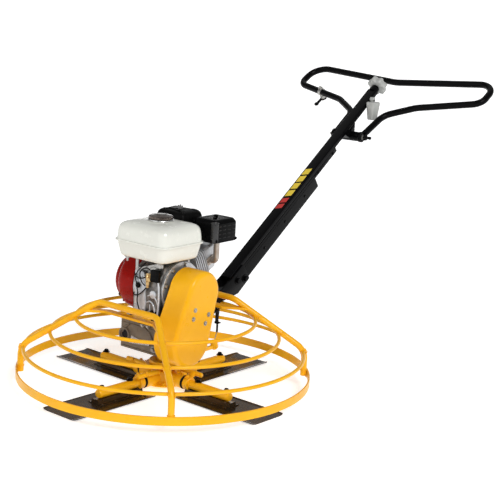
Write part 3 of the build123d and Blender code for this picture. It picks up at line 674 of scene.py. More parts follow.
def build_thrust_pair():
    """Pressure plate and the thrust bearing that rides on it, round the rotor's neck."""
    bore = 26.4
    plate = Shape()
    profile = [(bore, 71.4), (60.8, 71.4), (62, 72.6), (62, 77.2), (60.8, 78.4), (bore, 78.4)]
    plate.lathe(profile, WORLD, 72, closed=True)
    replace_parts(plate.piece("pressure_ring", "enamel_yellow", 40, body="pressure_plate"), "pressure_plate")
    cap = Shape()
    profile = [(bore, 78.8), (48.8, 78.8), (50, 80), (50, 83.2), (49.2, 83.8)]
    profile += [(49.2, 84.8), (50, 85.4), (50, 88.8), (48.8, 90), (bore, 90)]
    cap.lathe(profile, WORLD, 72, closed=True)
    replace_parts(cap.piece("thrust_bearing_cap", "enamel_yellow", 40, body="thrust_bearing"),
        "thrust_bearing")


def build_pitch_yoke():
    cast("yoke_casting", "pitch_yoke", "pitch_yoke", "enamel_yellow", 1.2, 3)
    end = Shape()
    end.lathe([(0, -22), (9, -22), (12, -19), (12.6, -9), (12, 2), (9, 6), (3, 7.6), (0, 8)],
        place((40, 208, 113.5)), 32)
    end.bolt(place((47, 208, 102), RIGHT), 12, 6)
    end.piece("yoke_cable_clevis", "enamel_yellow", body="pitch_yoke")


# ---------------------------------------------------------------- gearbox
def build_gearbox():
    cast("gearbox_casting", "gearbox_housing", "chassis", "cast_dark", 1.7, 5)
    cast("gearbox_lid", "gearbox_cover", "chassis", "cast_dark", 1.7, 3)
    ribs = Shape()
    # curved rib round the output gear and the ledge that braces it
    for low, high in ((14, 62), (118, 152)):
        arc = []
        for k in range(15):
            turn = math.radians(low + (high - low) * k / 14)
            x, z = polar(76, turn)
            arc.append((x - 33, -100.6, z + 146))
        ribs.tube(arc, 3.6, 10)
    ribs.tube([(-100, -100.5, 136), (48, -100.5, 136)], 3, 10)
    ribs.tube([(54, -100.5, 136), (54, -100.5, 210)], 3, 10)
    for y in (-70, -10, 40):
        ribs.tube([(-113.4, y, 136), (-113.4, y, 211)], 2.6, 10)
    for x in (-80, -20, 40):
        ribs.tube([(x, 72.4, 136), (x, 72.4, 211)], 2.6, 10)
    ledge_top = [(-59, -99, 182), (-43, -99, 180), (26, -99, 168), (26, -99, 160), (-59, -99, 150)]
    ledge_low = [(-59, -100, 176), (-43, -104, 172), (26, -104, 164), (26, -104, 160), (-57, -110, 153)]
    ribs.loft([ledge_top, ledge_low])
    ribs.piece("gearbox_ribs", "cast_dark", 50)
    ledge = Shape()
    facet = [(-58, -100.6, 178.5), (-43, -102.8, 175.5), (25.6, -104.2, 165.2)]
    facet += [(25.6, -105, 161.5), (-57, -110.6, 154.5)]
    ledge.loft([[(x, y + shift, z + shift * 0.6) for x, y, z in facet] for shift in (0.2, -0.5)])
    ledge.piece("gearbox_machined_ledge", "machined", 30)
    # thin dark disc on the gearbox's front face: painted shade of a round recess
    recess_shade = Shape()
    recess_shade.lathe([(0, 0), (16.6, 0), (16.6, 0.6), (0, 0.6)], place((-88, -98.9, 176), FORWARD), 36)
    recess_shade.piece("gearbox_recess_painted_shade", "rubber", 40)
    plug = Shape()
    plug.bolt(place((40, -100, 150), FORWARD), 12, 6)
    for x in (-103, -60, -10, 40, 52):
        for y in (-90, 62):
            plug.bolt(place((x, y, 217.4), DOWN), 9, 4, washer=False)
    plug.piece("gearbox_plugs", "iron")
    glass = Shape()
    profile = [(0, 2), (7.5, 2), (8, 3.6), (11, 4), (12, 2.6), (12, 0)]
    glass.lathe(profile, place((-113, 30, 172), LEFT), 28)
    glass.piece("gearbox_sight_glass", "zinc", 40)


# ---------------------------------------------------------------- belt cover
COVER_TOP, COVER_LOW = 74, 88             # radii of the cover round its two shafts
COVER_FACE = 164.7                        # x of the cover's outer face
COVER_ROUND = 15.6                        # radius of the cover's outer edge


def cover_ring(step, x):
    """Ring round the belt cover, a step outside (or, if negative, inside) its wall."""
    return [(x, y, z) for y, z in belt_outline(COVER_TOP + step, COVER_LOW + step)]


def build_belt_cover():
    shell = Shape()
    steps = [(-2.4, 75.4), (0, 75.2), (0.4, 77.8), (0.1, 79.2), (0, 90), (0, 110), (0, 130), (0, 149)]
    for k in range(1, 10):
        drop, out = polar(COVER_ROUND, math.pi / 2 * k / 9)
        steps.append((drop - COVER_ROUND, 149 + out * 15.7 / COVER_ROUND))
    steps += [(-26, COVER_FACE), (-44, COVER_FACE), (-62, COVER_FACE)]
    shell.loft([cover_ring(*step) for step in steps], caps=(False, True))
    # the inside, seen past the backplate
    shell.loft([cover_ring(*step) for step in ((-2.4, 75.4), (-3, 148), (-16, 161))], caps=(False, True))
    cover = shell.piece("belt_guard_shell", "enamel_yellow", 45)
    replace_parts(cover, "belt_cover")
    disc_rim = Shape()
    face = sideways(COVER_FACE - 0.3, 0, CRANK_Z)
    disc_rim.lathe([(52, -0.5), (50.6, 0.1), (49, 0.25), (0, 0.25)], face, 64)
    disc_rim.piece("belt_guard_boss", "enamel_yellow", 50)
    screws = Shape()
    for y, z in ((-46, 298), (21, 273), (-53, 270), (6, 246)):
        screws.bolt(sideways(COVER_FACE - 0.1, y, z), 8.5, 3)
    screws.piece("belt_guard_bolts", "zinc")
    edge = Shape()
    for k in range(6):
        y, z = polar(60, math.radians(20 + 56 * k))
        edge.dome_screw(place((74.8, y, CRANK_Z + z), LEFT), 5, 3)
    edge.piece("belt_backplate_screws", "zinc", 50)


# ---------------------------------------------------------------- engine
def tank_ring(hx, hy, radius, z):
    """Ring round the tank: half length, half width, corner radius and height."""
    return lift(block_outline(hx, hy, radius, 9, 2.5, -49.5), z)


def build_tank():
    body = Shape()
    pan = [
        (40, 30, 18, 445.2), (84, 73, 22, 445.4), (93, 82, 25, 446.4), (98, 87, 27, 449),
        (100.6, 89.6, 28, 453.5), (102.4, 91.4, 29, 460), (105, 94, 30, 472), (107.6, 96.6, 30, 486),
        (109.2, 98.2, 30, 497.2),
    ]
    seam = [(114.6, 103.6, 33, 497.7), (115, 104, 33, 498.6)]
    seam += [(115, 104, 33, 501.4), (114.6, 103.6, 33, 502.3)]
    dome = [
        (110, 99, 30, 502.8), (109.8, 98.8, 30, 508), (108.8, 97.8, 30, 524), (107.2, 96.2, 30, 537),
        (105, 94, 29.5, 545), (101.4, 90.4, 29, 551), (96, 85, 28, 555.4), (88, 77, 27, 558.6),
        (77, 66, 26, 560.8), (63, 52, 26, 562.2), (48, 42, 28, 563.4), (38, 36, 30, 564),
    ]
    neck_root = [(34, 34, 33, 566.5), (30, 30, 29.9, 567.4), (24, 24, 23.9, 567.4)]
    body.loft([tank_ring(*level) for level in pan + seam + dome + neck_root])
    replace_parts(body.piece("tank_shell", "gloss_white", 40), "fuel_tank")
    neck = Shape()
    filler = place((2, -46, 0))
    profile = [(22, 563), (40, 564.2), (43, 565.4), (43.6, 567.4), (42.4, 569.4), (39, 570.2), (22, 570.2)]
    neck.lathe(profile, filler, 64)
    neck.piece("tank_neck_ring", "chrome", 45)
    # chrome cap in a dark brown metal: painted reflection of dark surroundings
    cap = Shape()
    levels = [
        (37, 570.6, 0), (39.4, 571, 0.4), (40, 572.4, 0.9), (40, 577, 0.9), (39, 579.6, 0.5),
        (36, 581.3, 0), (24, 582.2, 0), (20.5, 583.8, 0), (17, 584.9, 0),
    ]
    cap.loft([fluted(radius - flute / 2, -flute / 2, 24, 144, z) for radius, z, flute in levels], filler)
    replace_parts(cap.piece("tank_cap", "cap_chrome_painted_reflection", 40, body="fuel_cap"), "fuel_cap")
    feet = Shape()
    for x in (-70, 72):
        for y in (-118, 18):
            feet.bolt(place((x, y, 444.8), DOWN), 12, 5, stud=10)
    feet.piece("tank_bolts", "zinc")


def build_fan_cover():
    axis = along_x(0, 0, CRANK_Z, -1)      # local Z runs outwards, to -X
    shell = Shape()
    outside = [(97.6, 62), (100, 62.2), (100.2, 66), (100, 70), (99.6, 100), (98.6, 118)]
    outside += [(95.6, 129), (90, 136), (83, 139.4), (79, 140), (72, 139.6)]
    inside = [(72, 137.6), (83, 137), (92, 128), (96.6, 112), (97.6, 90)]
    shell.lathe(outside + inside, axis, 96, closed=True)
    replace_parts(shell.piece("blower_shroud", "gloss_red", 40), "fan_cover")
    # starter housing with a ring of slanted air slots
    outer = Shape()
    profile = [(77, 140.2), (78, 141), (78.2, 144), (77.4, 156), (74, 164), (67, 168.6), (60, 170)]
    profile += [(58, 168.6), (40, 168.6), (38, 170), (22, 170), (20, 168.8), (14, 168.8)]
    profile += [(12.6, 169.8), (0, 169.8)]
    outer.lathe(profile, axis, 96)
    direction = Vector((0, math.sqrt(0.5), math.sqrt(0.5)))      # the rope's way out
    centre = Vector((-156, 0, CRANK_Z))
    spout = place(centre, direction, RIGHT)
    outer.prism(block_outline(10, 11, 4), (66, 82.5), spout, 2)
    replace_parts(outer.piece("starter_housing", "gloss_red", 40), "recoil_housing")
    slots = Shape()
    for k in range(20):
        a = TAU * k / 20
        p, q = Vector(polar(44, a)), Vector(polar(56, a + 0.10))
        across = Vector((-(q - p).y, (q - p).x)).normalized() * 2.6
        outline = [tuple(p - across), tuple(q - across), tuple(q + across), tuple(p + across)]
        slots.prism(round_polygon(outline, 2), (168.2, 169.0), axis, 0.3)
    slots.piece("starter_air_slots", "plastic_black", 50)
    bolts = Shape()
    for k in range(3):
        bolts.bolt(axis @ place((*polar(86, math.radians(90 + 120 * k)), 138.6)), 9, 4)
    for k in range(4):
        bolts.dome_screw(axis @ place((*polar(93, math.radians(45 + 90 * k)), 131)), 5, 3)
    bolts.piece("shroud_bolts", "zinc")
    grip = Shape()
    levels = [(84, 6.5, 22), (84.6, 8, 28), (88, 9, 30.6), (94, 9, 31)]
    levels += [(100, 8.2, 30), (103, 6.4, 27), (104, 4, 22)]
    grip.loft([lift(block_outline(sx, sy, min(sx, 8) * 0.95, 6), h) for h, sx, sy in levels], spout)
    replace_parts(grip.piece("starter_grip", "plastic_black", 45, body="recoil_grip"), "recoil_grip")
    cord = Shape()
    start = centre + direction * 70
    cord.tube([start + direction * d for d in (0, 4, 8, 11, 12.5, 14, 16)], 2, 10)
    obj = cord.cord("starter_rope", "rubber")
    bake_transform(obj)


def build_engine():
    # crankcase in the shaded copy of the aluminium: painted shade and painted reflection
    cast("crankcase_casting", "crankcase", "chassis", "cast_aluminium_painted_shade", 1.8, 4)
    cast("crankcase_side_cover", "crankcase_cover", "chassis", "cast_aluminium", 1.4, 3)
    # cylinder in the lighter copy of the aluminium: painted highlight on its fins
    cast("cylinder_casting", "cylinder", "chassis", "cast_aluminium_painted_highlight", 1.15, 1)
    lid = Shape()
    lid.prism(block_outline(42, 39, 13), (192.2, 196), CYL, 0.8)
    levels = ((2, 196), (2.4, 214), (3.6, 222), (6.5, 228), (11, 231.2), (17, 232.2))
    lid.loft(inset_rings(block_outline(40, 37, 13), levels), CYL)
    for y in (-18, 0, 18):
        lid.prism(block_outline(24, 2.4, 2, cy=y), (229, 233.4), CYL, 1)
    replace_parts(lid.piece("valve_cover", "cast_aluminium", 40), "rocker_cover")
    bolts = Shape()
    for x in (-35, 35):
        for y in (-32, 32):
            bolts.bolt(CYL @ place((x, y, 196)), 8, 5)
    for a in (35, 80, 125, 165, 205, 335):
        y, z = polar(80, math.radians(a))
        bolts.bolt(sideways(62, y, CRANK_Z + z), 10, 5.5)
    for y in (-80, 84):
        for x in (-48, 54):
            bolts.bolt(place((x, y, 250)), 12, 7)
    bolts.piece("engine_bolts", "zinc")
    ribs = Shape()
    # ribs and pads of the crankcase's front face, in the lighter copy of the aluminium as a painted
    # highlight
    hook = [(0, -96.4, 300), (14, -97, 306), (26, -97, 300)]
    hook += [(34, -96.8, 286), (36, -96.4, 268), (35, -95, 252)]
    ribs.tube(hook, 2.6, 10, smooth=6)
    ribs.tube([(4, -96.4, 322), (20, -97, 328), (38, -97, 318), (48, -96, 300)], 2, 10, smooth=6)
    ribs.tube([(12, -96.2, 254), (15, -96.6, 276), (14, -96.4, 296)], 2.2, 10)
    ribs.tube([(46, -96, 250), (51, -96, 300), (50, -95.4, 350), (44, -94, 384)], 3.4, 12, smooth=6)
    ribs.prism(disc(13, 30), (0, 5), ahead(26, -94, 330), 1.5)
    ribs.piece("crankcase_ribs", "cast_aluminium_painted_highlight", 50)
    rim = Shape()
    # thick bolted rim of the side cover, in the lighter copy of the aluminium as a painted highlight along
    # its curved edge
    turns = [polar(84, math.radians(-2 + 184 * k / 40)) for k in range(41)]
    rim.tube([(57, y, CRANK_Z + z) for y, z in turns], 5.2, 12)
    rim.piece("side_cover_rim", "cast_aluminium_painted_highlight", 60)
    dip = Shape()
    profile = [(0, 0), (15, 0), (16, 1), (16, 6), (13, 7.5), (9, 8), (9, 12), (5, 13), (0, 13)]
    dip.lathe(profile, place((30, -92, 266), (0, -1, 0.35)), 30)
    dip.piece("oil_filler_cap", "plastic_black", 40)


def build_controls():
    """Control bracket, governor spring and wires that show under the tank's front edge."""
    plate = Shape()
    outline = round_polygon([(-62, 402), (48, 436), (58, 432), (58, 420), (20, 404), (-58, 384)], 5)[::-1]
    front = ahead(0, -86, 0)
    plate.prism(outline, (0, 2.2), front, 0.6)
    arm = round_polygon([(-60, 400), (-48, 404), (-48, 440), (-60, 440)], 3)
    plate.prism(arm, (1, 4), front, 0.6)
    plate.piece("control_bracket", "zinc", 35)
    module = Shape()
    module.prism(block_outline(17, 20, 5), (0, 13), ahead(38, -93, 394), 2)
    module.lathe([(0, 0), (9, 0), (9, 5), (7, 7), (0, 7)], ahead(-34, -101, 352), 24)
    module.piece("ignition_module", "plastic_black", 40)
    drain = Shape()
    tap = [(0, 0), (5, 0), (5, 9), (6.5, 10), (6.5, 20), (5, 22), (0, 22)]
    drain.lathe(tap, place((8, -103, 352), (0.1, -0.1, 1)), 24)
    drain.prism(block_outline(9, 14, 3), (0, 8), place((9, -96, 384), (0, -1, 0.1), RIGHT), 1.5)
    drain.bolt(place((9, -104, 388), (0, -1, 0.1)), 9, 4)
    drain.piece("drain_fitting", "bronze", 40)
    lever = Shape()
    blade = round_polygon([(-4, 0), (4, 0), (5, 34), (0, 40), (-5, 34)], 2)
    lever.prism(blade, (0, 2.4), ahead(-10, -94, 352), 0.5)
    coils, steps = 12, 96
    spring = []
    for k in range(steps + 1):
        z, y = polar(2.6, TAU * coils * k / steps)
        spring.append((-10 + 26 * k / steps, y - 99, 388 + z + 16 * k / steps))
    lever.tube(spring, 0.7, 6)
    lever.piece("governor_lever", "zinc", 40)
    wires = Shape()
    routes = (
        [(-18, -84, 428), (-22, -98, 416), (-36, -105, 398),
         (-44, -105, 376), (-40, -105, 360), (-34, -108, 353)],
        [(-66, -76, 392), (-60, -92, 388), (-46, -104, 384),
         (-30, -106, 377), (-10, -106, 380), (2, -104, 388)],
        [(-66, -78, 322), (-58, -96, 320), (-44, -105, 318),
         (-28, -107, 322), (-12, -106, 334), (4, -106, 350)],
        [(-34, -108, 344), (-28, -110, 330), (-30, -109, 300),
         (-24, -105, 274), (-22, -99, 250), (-18, -94, 243)],
        [(24, -104, 408), (8, -108, 416), (-12, -108, 410),
         (-24, -107, 392), (-16, -107, 368), (0, -106, 356)],
    )
    for route in routes:
        wires.tube(route, 2.1, 10, smooth=8)
    wires.piece("engine_wires", "rubber", 60)
    housing = Shape()
    # cast flange between the blower shroud and the crankcase, in the lighter copy of the aluminium as a
    # painted highlight
    axis = along_x(0, 0, CRANK_Z, -1)
    housing.lathe([(84, 41), (93, 41), (96.6, 43), (97.4, 61.6), (84, 61.6)], axis, 72, closed=True)
    housing.piece("blower_flange", "cast_aluminium_painted_highlight", 40)
    web = Shape()
    # cast web that carries the shroud on the crankcase's front, in the lighter copy of the aluminium as a
    # painted highlight
    outline = [(-52, 256), (-20, 252), (-6, 268), (-2, 296), (-6, 330)]
    outline += [(-2, 356), (-8, 384), (-16, 398), (-52, 402)]
    web.prism(round_polygon(outline, 5), (0, 4.2), ahead(0, -95.6, 0), 1.4)
    for z in (282, 318, 366):
        web.lathe([(0, 0), (6.4, 0), (6.4, 4), (5, 5.6), (0, 5.6)], ahead(-43, -99, z), 24)
    web.piece("shroud_web", "cast_aluminium_painted_highlight", 40)


def build_air_cleaner():
    base = Shape()
    base.prism(rounded((-125, 0), (62, 172), 14, 6), (478, 505), WORLD, 3)
    base.prism(rounded((-112, -14), (76, 158), 12, 6), (470, 480), WORLD, 2)
    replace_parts(base.piece("air_cleaner_case", "plastic_black", 40), "air_cleaner_base")
    lid = Shape()
    levels = [(1.5, 505.3), (0.2, 506), (0, 508), (0, 513), (1.6, 514), (1.8, 545)]
    levels += [(3, 556), (6.5, 565), (12, 571), (20, 574.6), (30, 576)]
    lid.loft(inset_rings(rounded((-126, 1), (61, 173), 16, 6), levels))
    for x in (-94, -77, -60, -43, -26):
        lid.prism(block_outline(2.2, 26, 2, cx=x, cy=117), (573.4, 576), WORLD, 0.8)
    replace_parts(lid.piece("air_cleaner_lid", "plastic_black", 40), "air_cleaner_cover")
    nut = Shape()
    centre = place((-60, 118, 575.6)) @ Matrix.Scale(0.78, 4)
    nut.lathe([(0, 0), (9, 0), (9.5, 1.6), (0, 1.6)], centre, 24)
    nut.lathe([(0, 1.6), (5.5, 1.6), (5, 9), (0, 9)], centre, 20)
    nut.lathe([(0, 9), (3, 9), (3, 17.5), (2, 18.6), (0, 18.6)], centre, 16)
    half = ((3, 2.4), (10, 6), (14.5, 13), (12.5, 16), (8, 14), (3, 8))
    for way in (-1, 1):
        wing = [(way * x, y) for x, y in half][::way]
        nut.prism(round_polygon(wing, 2), (-1.4, 1.4), centre @ ahead(0, 0, 0), 0.6)
    nut.piece("air_cleaner_wing_nut", "iron", 40)


def build_muffler():
    can = Shape()
    levels = [(12, 498), (5, 499.5), (1.5, 503), (0, 509), (0, 523), (-2, 523.6)]
    levels += [(-2, 525.4), (0, 526), (0, 540), (1.5, 546), (5, 549.5), (12, 551)]
    can.loft(inset_rings(rounded((34, 104), (106, 200), 16, 6), levels))
    can.piece("muffler_can", "heat_tint", 40)
    # sheet guard: a box open below, with pressed slots
    guard = Shape()
    outer = rounded((15, 115), (94, 212), 18, 6)
    outside = [(2, 487), (0, 487), (0, 506), (0, 548), (0.8, 550.6)]
    outside += [(9.5, 560.4), (12, 561.8), (15, 562), (30, 562)]
    inside = [(2, 487), (2, 547), (11, 558), (15, 560), (30, 560)]
    for levels in (outside, inside):
        guard.loft(inset_rings(outer, levels), caps=(False, True))
    # joggled flange, and a rounded corner bead in the lighter, glossier copy of the black paint as a painted
    # highlight
    guard.tube([(17, 96, 490), (17, 96, 552)], 3.2, 12)
    corner = Shape()
    corner.tube([(100, 109, 489), (100, 109, 547), (98.6, 110.4, 551)], 15.2, 28)
    corner.piece("muffler_guard_corner_painted_highlight", "black_paint_painted_highlight", 50)
    piece = guard.piece("muffler_guard", "enamel_black", 40)
    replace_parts(piece, "muffler")
    slots = Shape()
    wall = sideways(114.7, 0, 0) @ Matrix.Scale(-1, 4, BACKWARD)
    for row in range(4):
        z = -502 - 13 * row
        for y in (118, 142, 166, 190):
            slot = [(y - 8, z - 2), (y + 8, z - 2), (y + 8, z + 2), (y - 8, z + 2)]
            slots.prism(round_polygon(slot, 2), (0, 0.5), wall, 0.15)
    for row in range(3):
        for x in (40, 62, 84):
            slots.prism(block_outline(8, 2, 2, cx=x, cy=122 + 30 * row), (561.8, 562.25), WORLD, 0.15)
    slots.piece("muffler_guard_slots", "rubber", 50)
    screws = Shape()
    for y in (104, 202):
        screws.dome_screw(sideways(115, y, 494), 5, 3)
    for x in (26, 98):
        screws.dome_screw(ahead(x, 94, 494), 5, 3)
    screws.piece("muffler_screws", "enamel_black")
    flange = Shape()
    port = place(CYL @ Vector((46.2, 6, 178)), RIGHT, (0, 0.9, 0.42))
    flange.prism(round_polygon([(-20, -13), (20, -13), (20, 13), (-20, 13)], 9), (0, 5), port, 1)
    for way in (-1, 1):
        flange.bolt(port @ place((way * 14, 0, 5)), 8, 4)
    flange.piece("exhaust_flange", "heat_tint", 40)


def build_carburetor():
    cast("carburetor_casting", "carburetor", "chassis", "cast_aluminium", 1.0, 3)
    bowl = Shape()
    profile = [(0, 408), (4, 408), (4, 410), (15.4, 411), (16.4, 413)]
    profile += [(16.4, 428), (18, 429), (18, 432), (0, 432)]
    bowl.lathe(profile, place((-84, 131, 0)), 32)
    bowl.bolt(place((-84, 131, 408.4), DOWN), 9, 4, washer=False)
    bowl.piece("carburetor_bowl", "bronze", 40)
    levers = (
        ("choke_handle", "choke_lever", "choke_lever", 124, 461),
        ("fuel_valve_handle", "fuel_valve", "fuel_valve_lever", 128, 437),
    )
    for name, body, node, y, z in levers:
        handle = Shape()
        outline = round_polygon([(-25, -2.6), (0, -4.6), (4.6, -3), (4.6, 3), (0, 4.6), (-25, 2.6)], 2)
        pivot = sideways(-105, y, z, -1)
        handle.prism(outline, (0, 4), pivot, 0.8)
        handle.lathe([(0, 3), (5, 3), (5, 4), (4, 4.4), (0, 4.4)], pivot, 20)
        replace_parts(handle.piece(name, "plastic_black", 40, body=body), node)
    plug = Shape()
    at = CYL @ place((0, -40, 176), (0, -0.86, 0.5))
    plug.lathe([(0, 0), (8, 0), (8, 6), (6, 7), (5, 20), (0, 20)], at, 24)
    plug.piece("spark_plug", "zinc", 40)
    boot = Shape()
    boot.lathe([(0, 12), (9, 12), (10, 14), (10, 30), (8, 34), (0, 35)], at, 24)
    # the lead leaves the cap, passes under the carburetor's bowl and goes into the blower shroud
    lead = [at @ Vector(p) for p in ((0, 0, 30), (-6, 2, 42), (-22, 8, 48), (-44, 20, 40), (-60, 34, 10))]
    lead += [(-72, 178, 424), (-76, 166, 396), (-79, 142, 386)]
    lead += [(-81, 112, 384), (-81, 88, 381), (-81, 76, 378)]
    boot.tube(lead, 3.3, 12, smooth=6)
    boot.piece("spark_plug_boot", "rubber", 50)


# ---------------------------------------------------------------- base and handle
def build_base():
    sheet = Shape()
    front = [(-100, -106), (-14, -106), (-14, -118), (30, -118), (30, -106), (68, -106)]
    rear = [(68, 196), (32, 196), (32, 238), (-32, 238), (-32, 196), (-100, 196)]
    outline = round_polygon(front + rear, [6, 2, 4, 4, 2, 6, 6, 3, 6, 6, 3, 6])
    sheet.prism(outline, (231, 239), WORLD, 0.9)
    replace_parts(sheet.piece("engine_bed", "enamel_black", 35), "base_plate")
    bolts = Shape()
    for x, y in ((-80, -92), (-80, 150), (50, 150)):
        bolts.bolt(place((x, y, 239)), 13, 7)
    for x in (-20, 20):
        bolts.bolt(place((x, 199, 245)), 13, 7)
    bolts.piece("engine_bed_bolts", "zinc")


def build_handle():
    tube = Shape()
    wide = POLE_SIDE
    rings = []
    for d, s in ((1.2, 0), (0, 1.2), (0, 1054.8), (1.2, 1056)):
        rings.append(lift(rounded((d - wide, wide - d), (d, 18 - d), 3.4 - d, 4), s))
    tube.loft(rings, POLE)
    boss = POLE @ place((0, 9, 0))
    tube.lathe([(0, 1050), (15.6, 1050), (17, 1051.4), (17, 1073), (16, 1074.8), (0, 1074.8)], boss, 36)
    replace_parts(tube.piece("pole_tube", "enamel_black", 40), "handle_tube")
    channel = Shape()
    outline = round_polygon([(-wide, 18.2), (wide, 18.2), (wide, 75), (-wide, 75)], [0.8, 0.8, 7, 7], 6)
    inner = round_polygon([(-18, 19), (18, 19), (18, 72), (-18, 72)], [0.8, 0.8, 5, 5], 6)
    rings = [lift(inner, 0.4), lift(inset(inner, -1.2), 0), lift(outline, 0.4)]
    rings += inset_rings(outline, ((0, 2), (0, 561), (0.6, 564), (2.4, 566), (8, 566.4)))
    channel.loft(rings, POLE)
    for x in (-wide, wide):
        channel.tube([POLE @ Vector((x, 30, 4)), POLE @ Vector((x, 30, 558))], 0.9, 8)
    cover = round_polygon([(-20.6, 18.2), (20.6, 18.2), (20.6, 36), (-20.6, 36)], [0.8, 0.8, 5, 5], 5)
    channel.prism(cover, (566.4, 724), POLE, 1.8)
    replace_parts(channel.piece("pole_channel", "enamel_black", 38), "handle_channel")
    screws = Shape()
    for s in (60, 200, 340, 480, 590, 700):
        for side in (-1, 1):
            depth = 27 if s > 566 else 48
            screws.dome_screw(POLE @ sideways(side * wide, depth, s, side), 5.5, 2.6)
    screws.piece("channel_rivets", "enamel_black", 50)
    bracket = Shape()
    plate = bracket_outline()
    for side in (-1, 1):
        at = place((side * 21.1, 0, 0), (side, 0, 0), (0, side, 0))
        flat = [(side * y, z) for y, z in plate]
        if side < 0:
            flat.reverse()
        bracket.prism(flat, (0, 5.9), at, 0.8)
    bracket.prism(block_outline(27, 25, 4, cx=0, cy=215), (239, 245), WORLD, 0.8)
    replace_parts(bracket.piece("pole_bracket", "enamel_black", 35), "handle_bracket")
    bolts = Shape()
    for side in (-1, 1):
        for depth, s in ((34, 20), (58, 54)):
            stud = 4 if side < 0 else 0
            bolts.bolt(POLE @ sideways(side * 27, depth, s, side), 16, 8, stud=stud)
    bolts.piece("pole_bracket_bolts", "enamel_black")


def bracket_outline():
    """Side plate of the handle's foot, as (y, z) points in order."""
    corners = [POLE @ Vector((0, depth, along)) for depth, along in ((75, 0), (75, 74), (8, 74), (8, -2))]
    corners[0].z -= 3
    points = [(190, 245), (240, 245)] + [(p.y, p.z) for p in corners] + [(205, 264), (190, 262)]
    return round_polygon(points, [2, 12, 6, 4, 6, 8, 10, 4], 5)


def build_stripes():
    """Plain painted bars on the pole's upper face: a red pair, then a row of yellow ones."""
    bars = [("stripe_red", 350, 374), ("stripe_red", 382, 406)]
    bars += [("stripe_yellow", 418 + 40 * k, 450 + 40 * k) for k in range(4)]
    for i, (look, low, high) in enumerate(bars):
        band = Shape()
        corners = round_polygon([(-15, low), (10, low + 9), (10, high + 9), (-15, high)], 1.5)
        band.loft([[(x, depth, along) for x, along in corners] for depth in (-0.05, -0.3)], POLE)
        band.piece(f"pole_stripe_{i + 1}", look, 30)


def build_knob():
    knob = Shape()
    at = POLE @ place((0, 9, 1077))
    levels = ((0.86, 0), (0.95, 1.2), (1, 4), (1, 22), (0.97, 26), (0.9, 28.8), (0.8, 30))
    knob.loft([fluted(34.2, 4.4, 7, 112, h, scale) for scale, h in levels], at)
    knob.lathe([(22, 29), (20, 30), (15, 27.6), (0, 27.6)], at, 40)
    knob.lathe([(0, 27), (11, 27), (11, 30), (9.6, 31.4), (0, 31.6)], at, 32)
    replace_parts(knob.piece("pitch_handwheel", "plastic_grey", 40, body="pitch_knob"), "pitch_knob")
    stem = Shape()
    stem.lathe([(0, 1068), (6, 1068), (6, 1082), (0, 1082)], POLE @ place((0, 9, 0)), 24)
    stem.piece("pitch_screw_end", "zinc", 40, body="pitch_knob")
    paddle = Shape()
    levels = [(0.62, 835), (0.68, 835.8), (0.71, 838), (0.86, 866)]
    levels += [(0.985, 890), (1, 898), (0.98, 901.5), (0.9, 903)]
    rings = []
    for scale, z in levels:
        rings.append(lift(block_outline(17.6 * scale, 26 * scale, 8 * scale, 7, 39.6, 1103), z))
    paddle.loft(rings)
    paddle.prism(rounded((27.6, 37.6), (1104, 1120), 3), (898, 912), WORLD, 1.2)
    eye = [(0, 0), (7.6, 0), (8.8, 1), (8.8, 14.6), (7.6, 15.8), (0, 15.8)]
    paddle.lathe(eye, along_x(21.8, 1112, 912), 32)
    ridge = round_polygon([(-8, -1.2), (8, -1.2), (8, 1.2), (-8, 1.2)], 1)
    for z in (848, 858, 868, 878):
        for side in (-1, 1):
            y = 1103 + side * (17.4 + (z - 835) * 0.135)
            paddle.prism(ridge, (0, 0.8), place((39.6, y, z), (0, side, 0), RIGHT), 0.3)
    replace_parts(paddle.piece("stop_paddle_body", "plastic_grey", 40, body="stop_paddle"), "stop_paddle")


def handlebar_line():
    """Centre line of the operator's bar, in the bar's own plane, as smooth arcs."""
    right = [(60, 0), (73, 150), (178, 222), (422, 296), (422, 426)]
    points = right + [(0, 374)] + [(-x, y) for x, y in reversed(right)]
    radii = [70, 90, 46, 62, 160, 62, 46, 90, 70]
    line = [Vector((*points[0], 0))]
    for before, corner, after, radius in zip(points, points[1:], points[2:], radii):
        p = Vector(corner)
        u = (Vector(before) - p).normalized()
        v = (Vector(after) - p).normalized()
        half = u.angle(v) / 2
        reach = radius / math.tan(half)
        centre = p + (u + v).normalized() * radius / math.sin(half)
        start, end = p + u * reach, p + v * reach
        a = math.atan2(*reversed(start - centre))
        b = math.atan2(*reversed(end - centre))
        turn = (b - a + math.pi) % TAU - math.pi
        steps = 14
        for k in range(steps + 1):
            x, y = polar(radius, a + turn * k / steps)
            line.append(Vector((centre.x + x, centre.y + y, 0)))
    line.append(Vector((*points[-1], 0)))
    return line


def build_handlebar():
    line = handlebar_line()
    bar = Shape()
    line[0] = Vector((61.6, 18, 0))
    line[-1] = Vector((-61.6, 18, 0))
    bar.tube([BAR @ p for p in line], 12.7, 24)
    for side in (-1, 1):
        at = BAR @ place((side * 60, 0, 0), RIGHT, BACKWARD)
        bar.lathe([(5.4, -6), (19, -6), (20, -5), (20, 5), (19, 6), (5.4, 6)], at, 40, closed=True)
    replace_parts(bar.piece("operator_bar", "enamel_black", 45, body="handlebar"), "handlebar")
    build_fold_pivot(sideways(0, FOLD_Y, FOLD_Z))


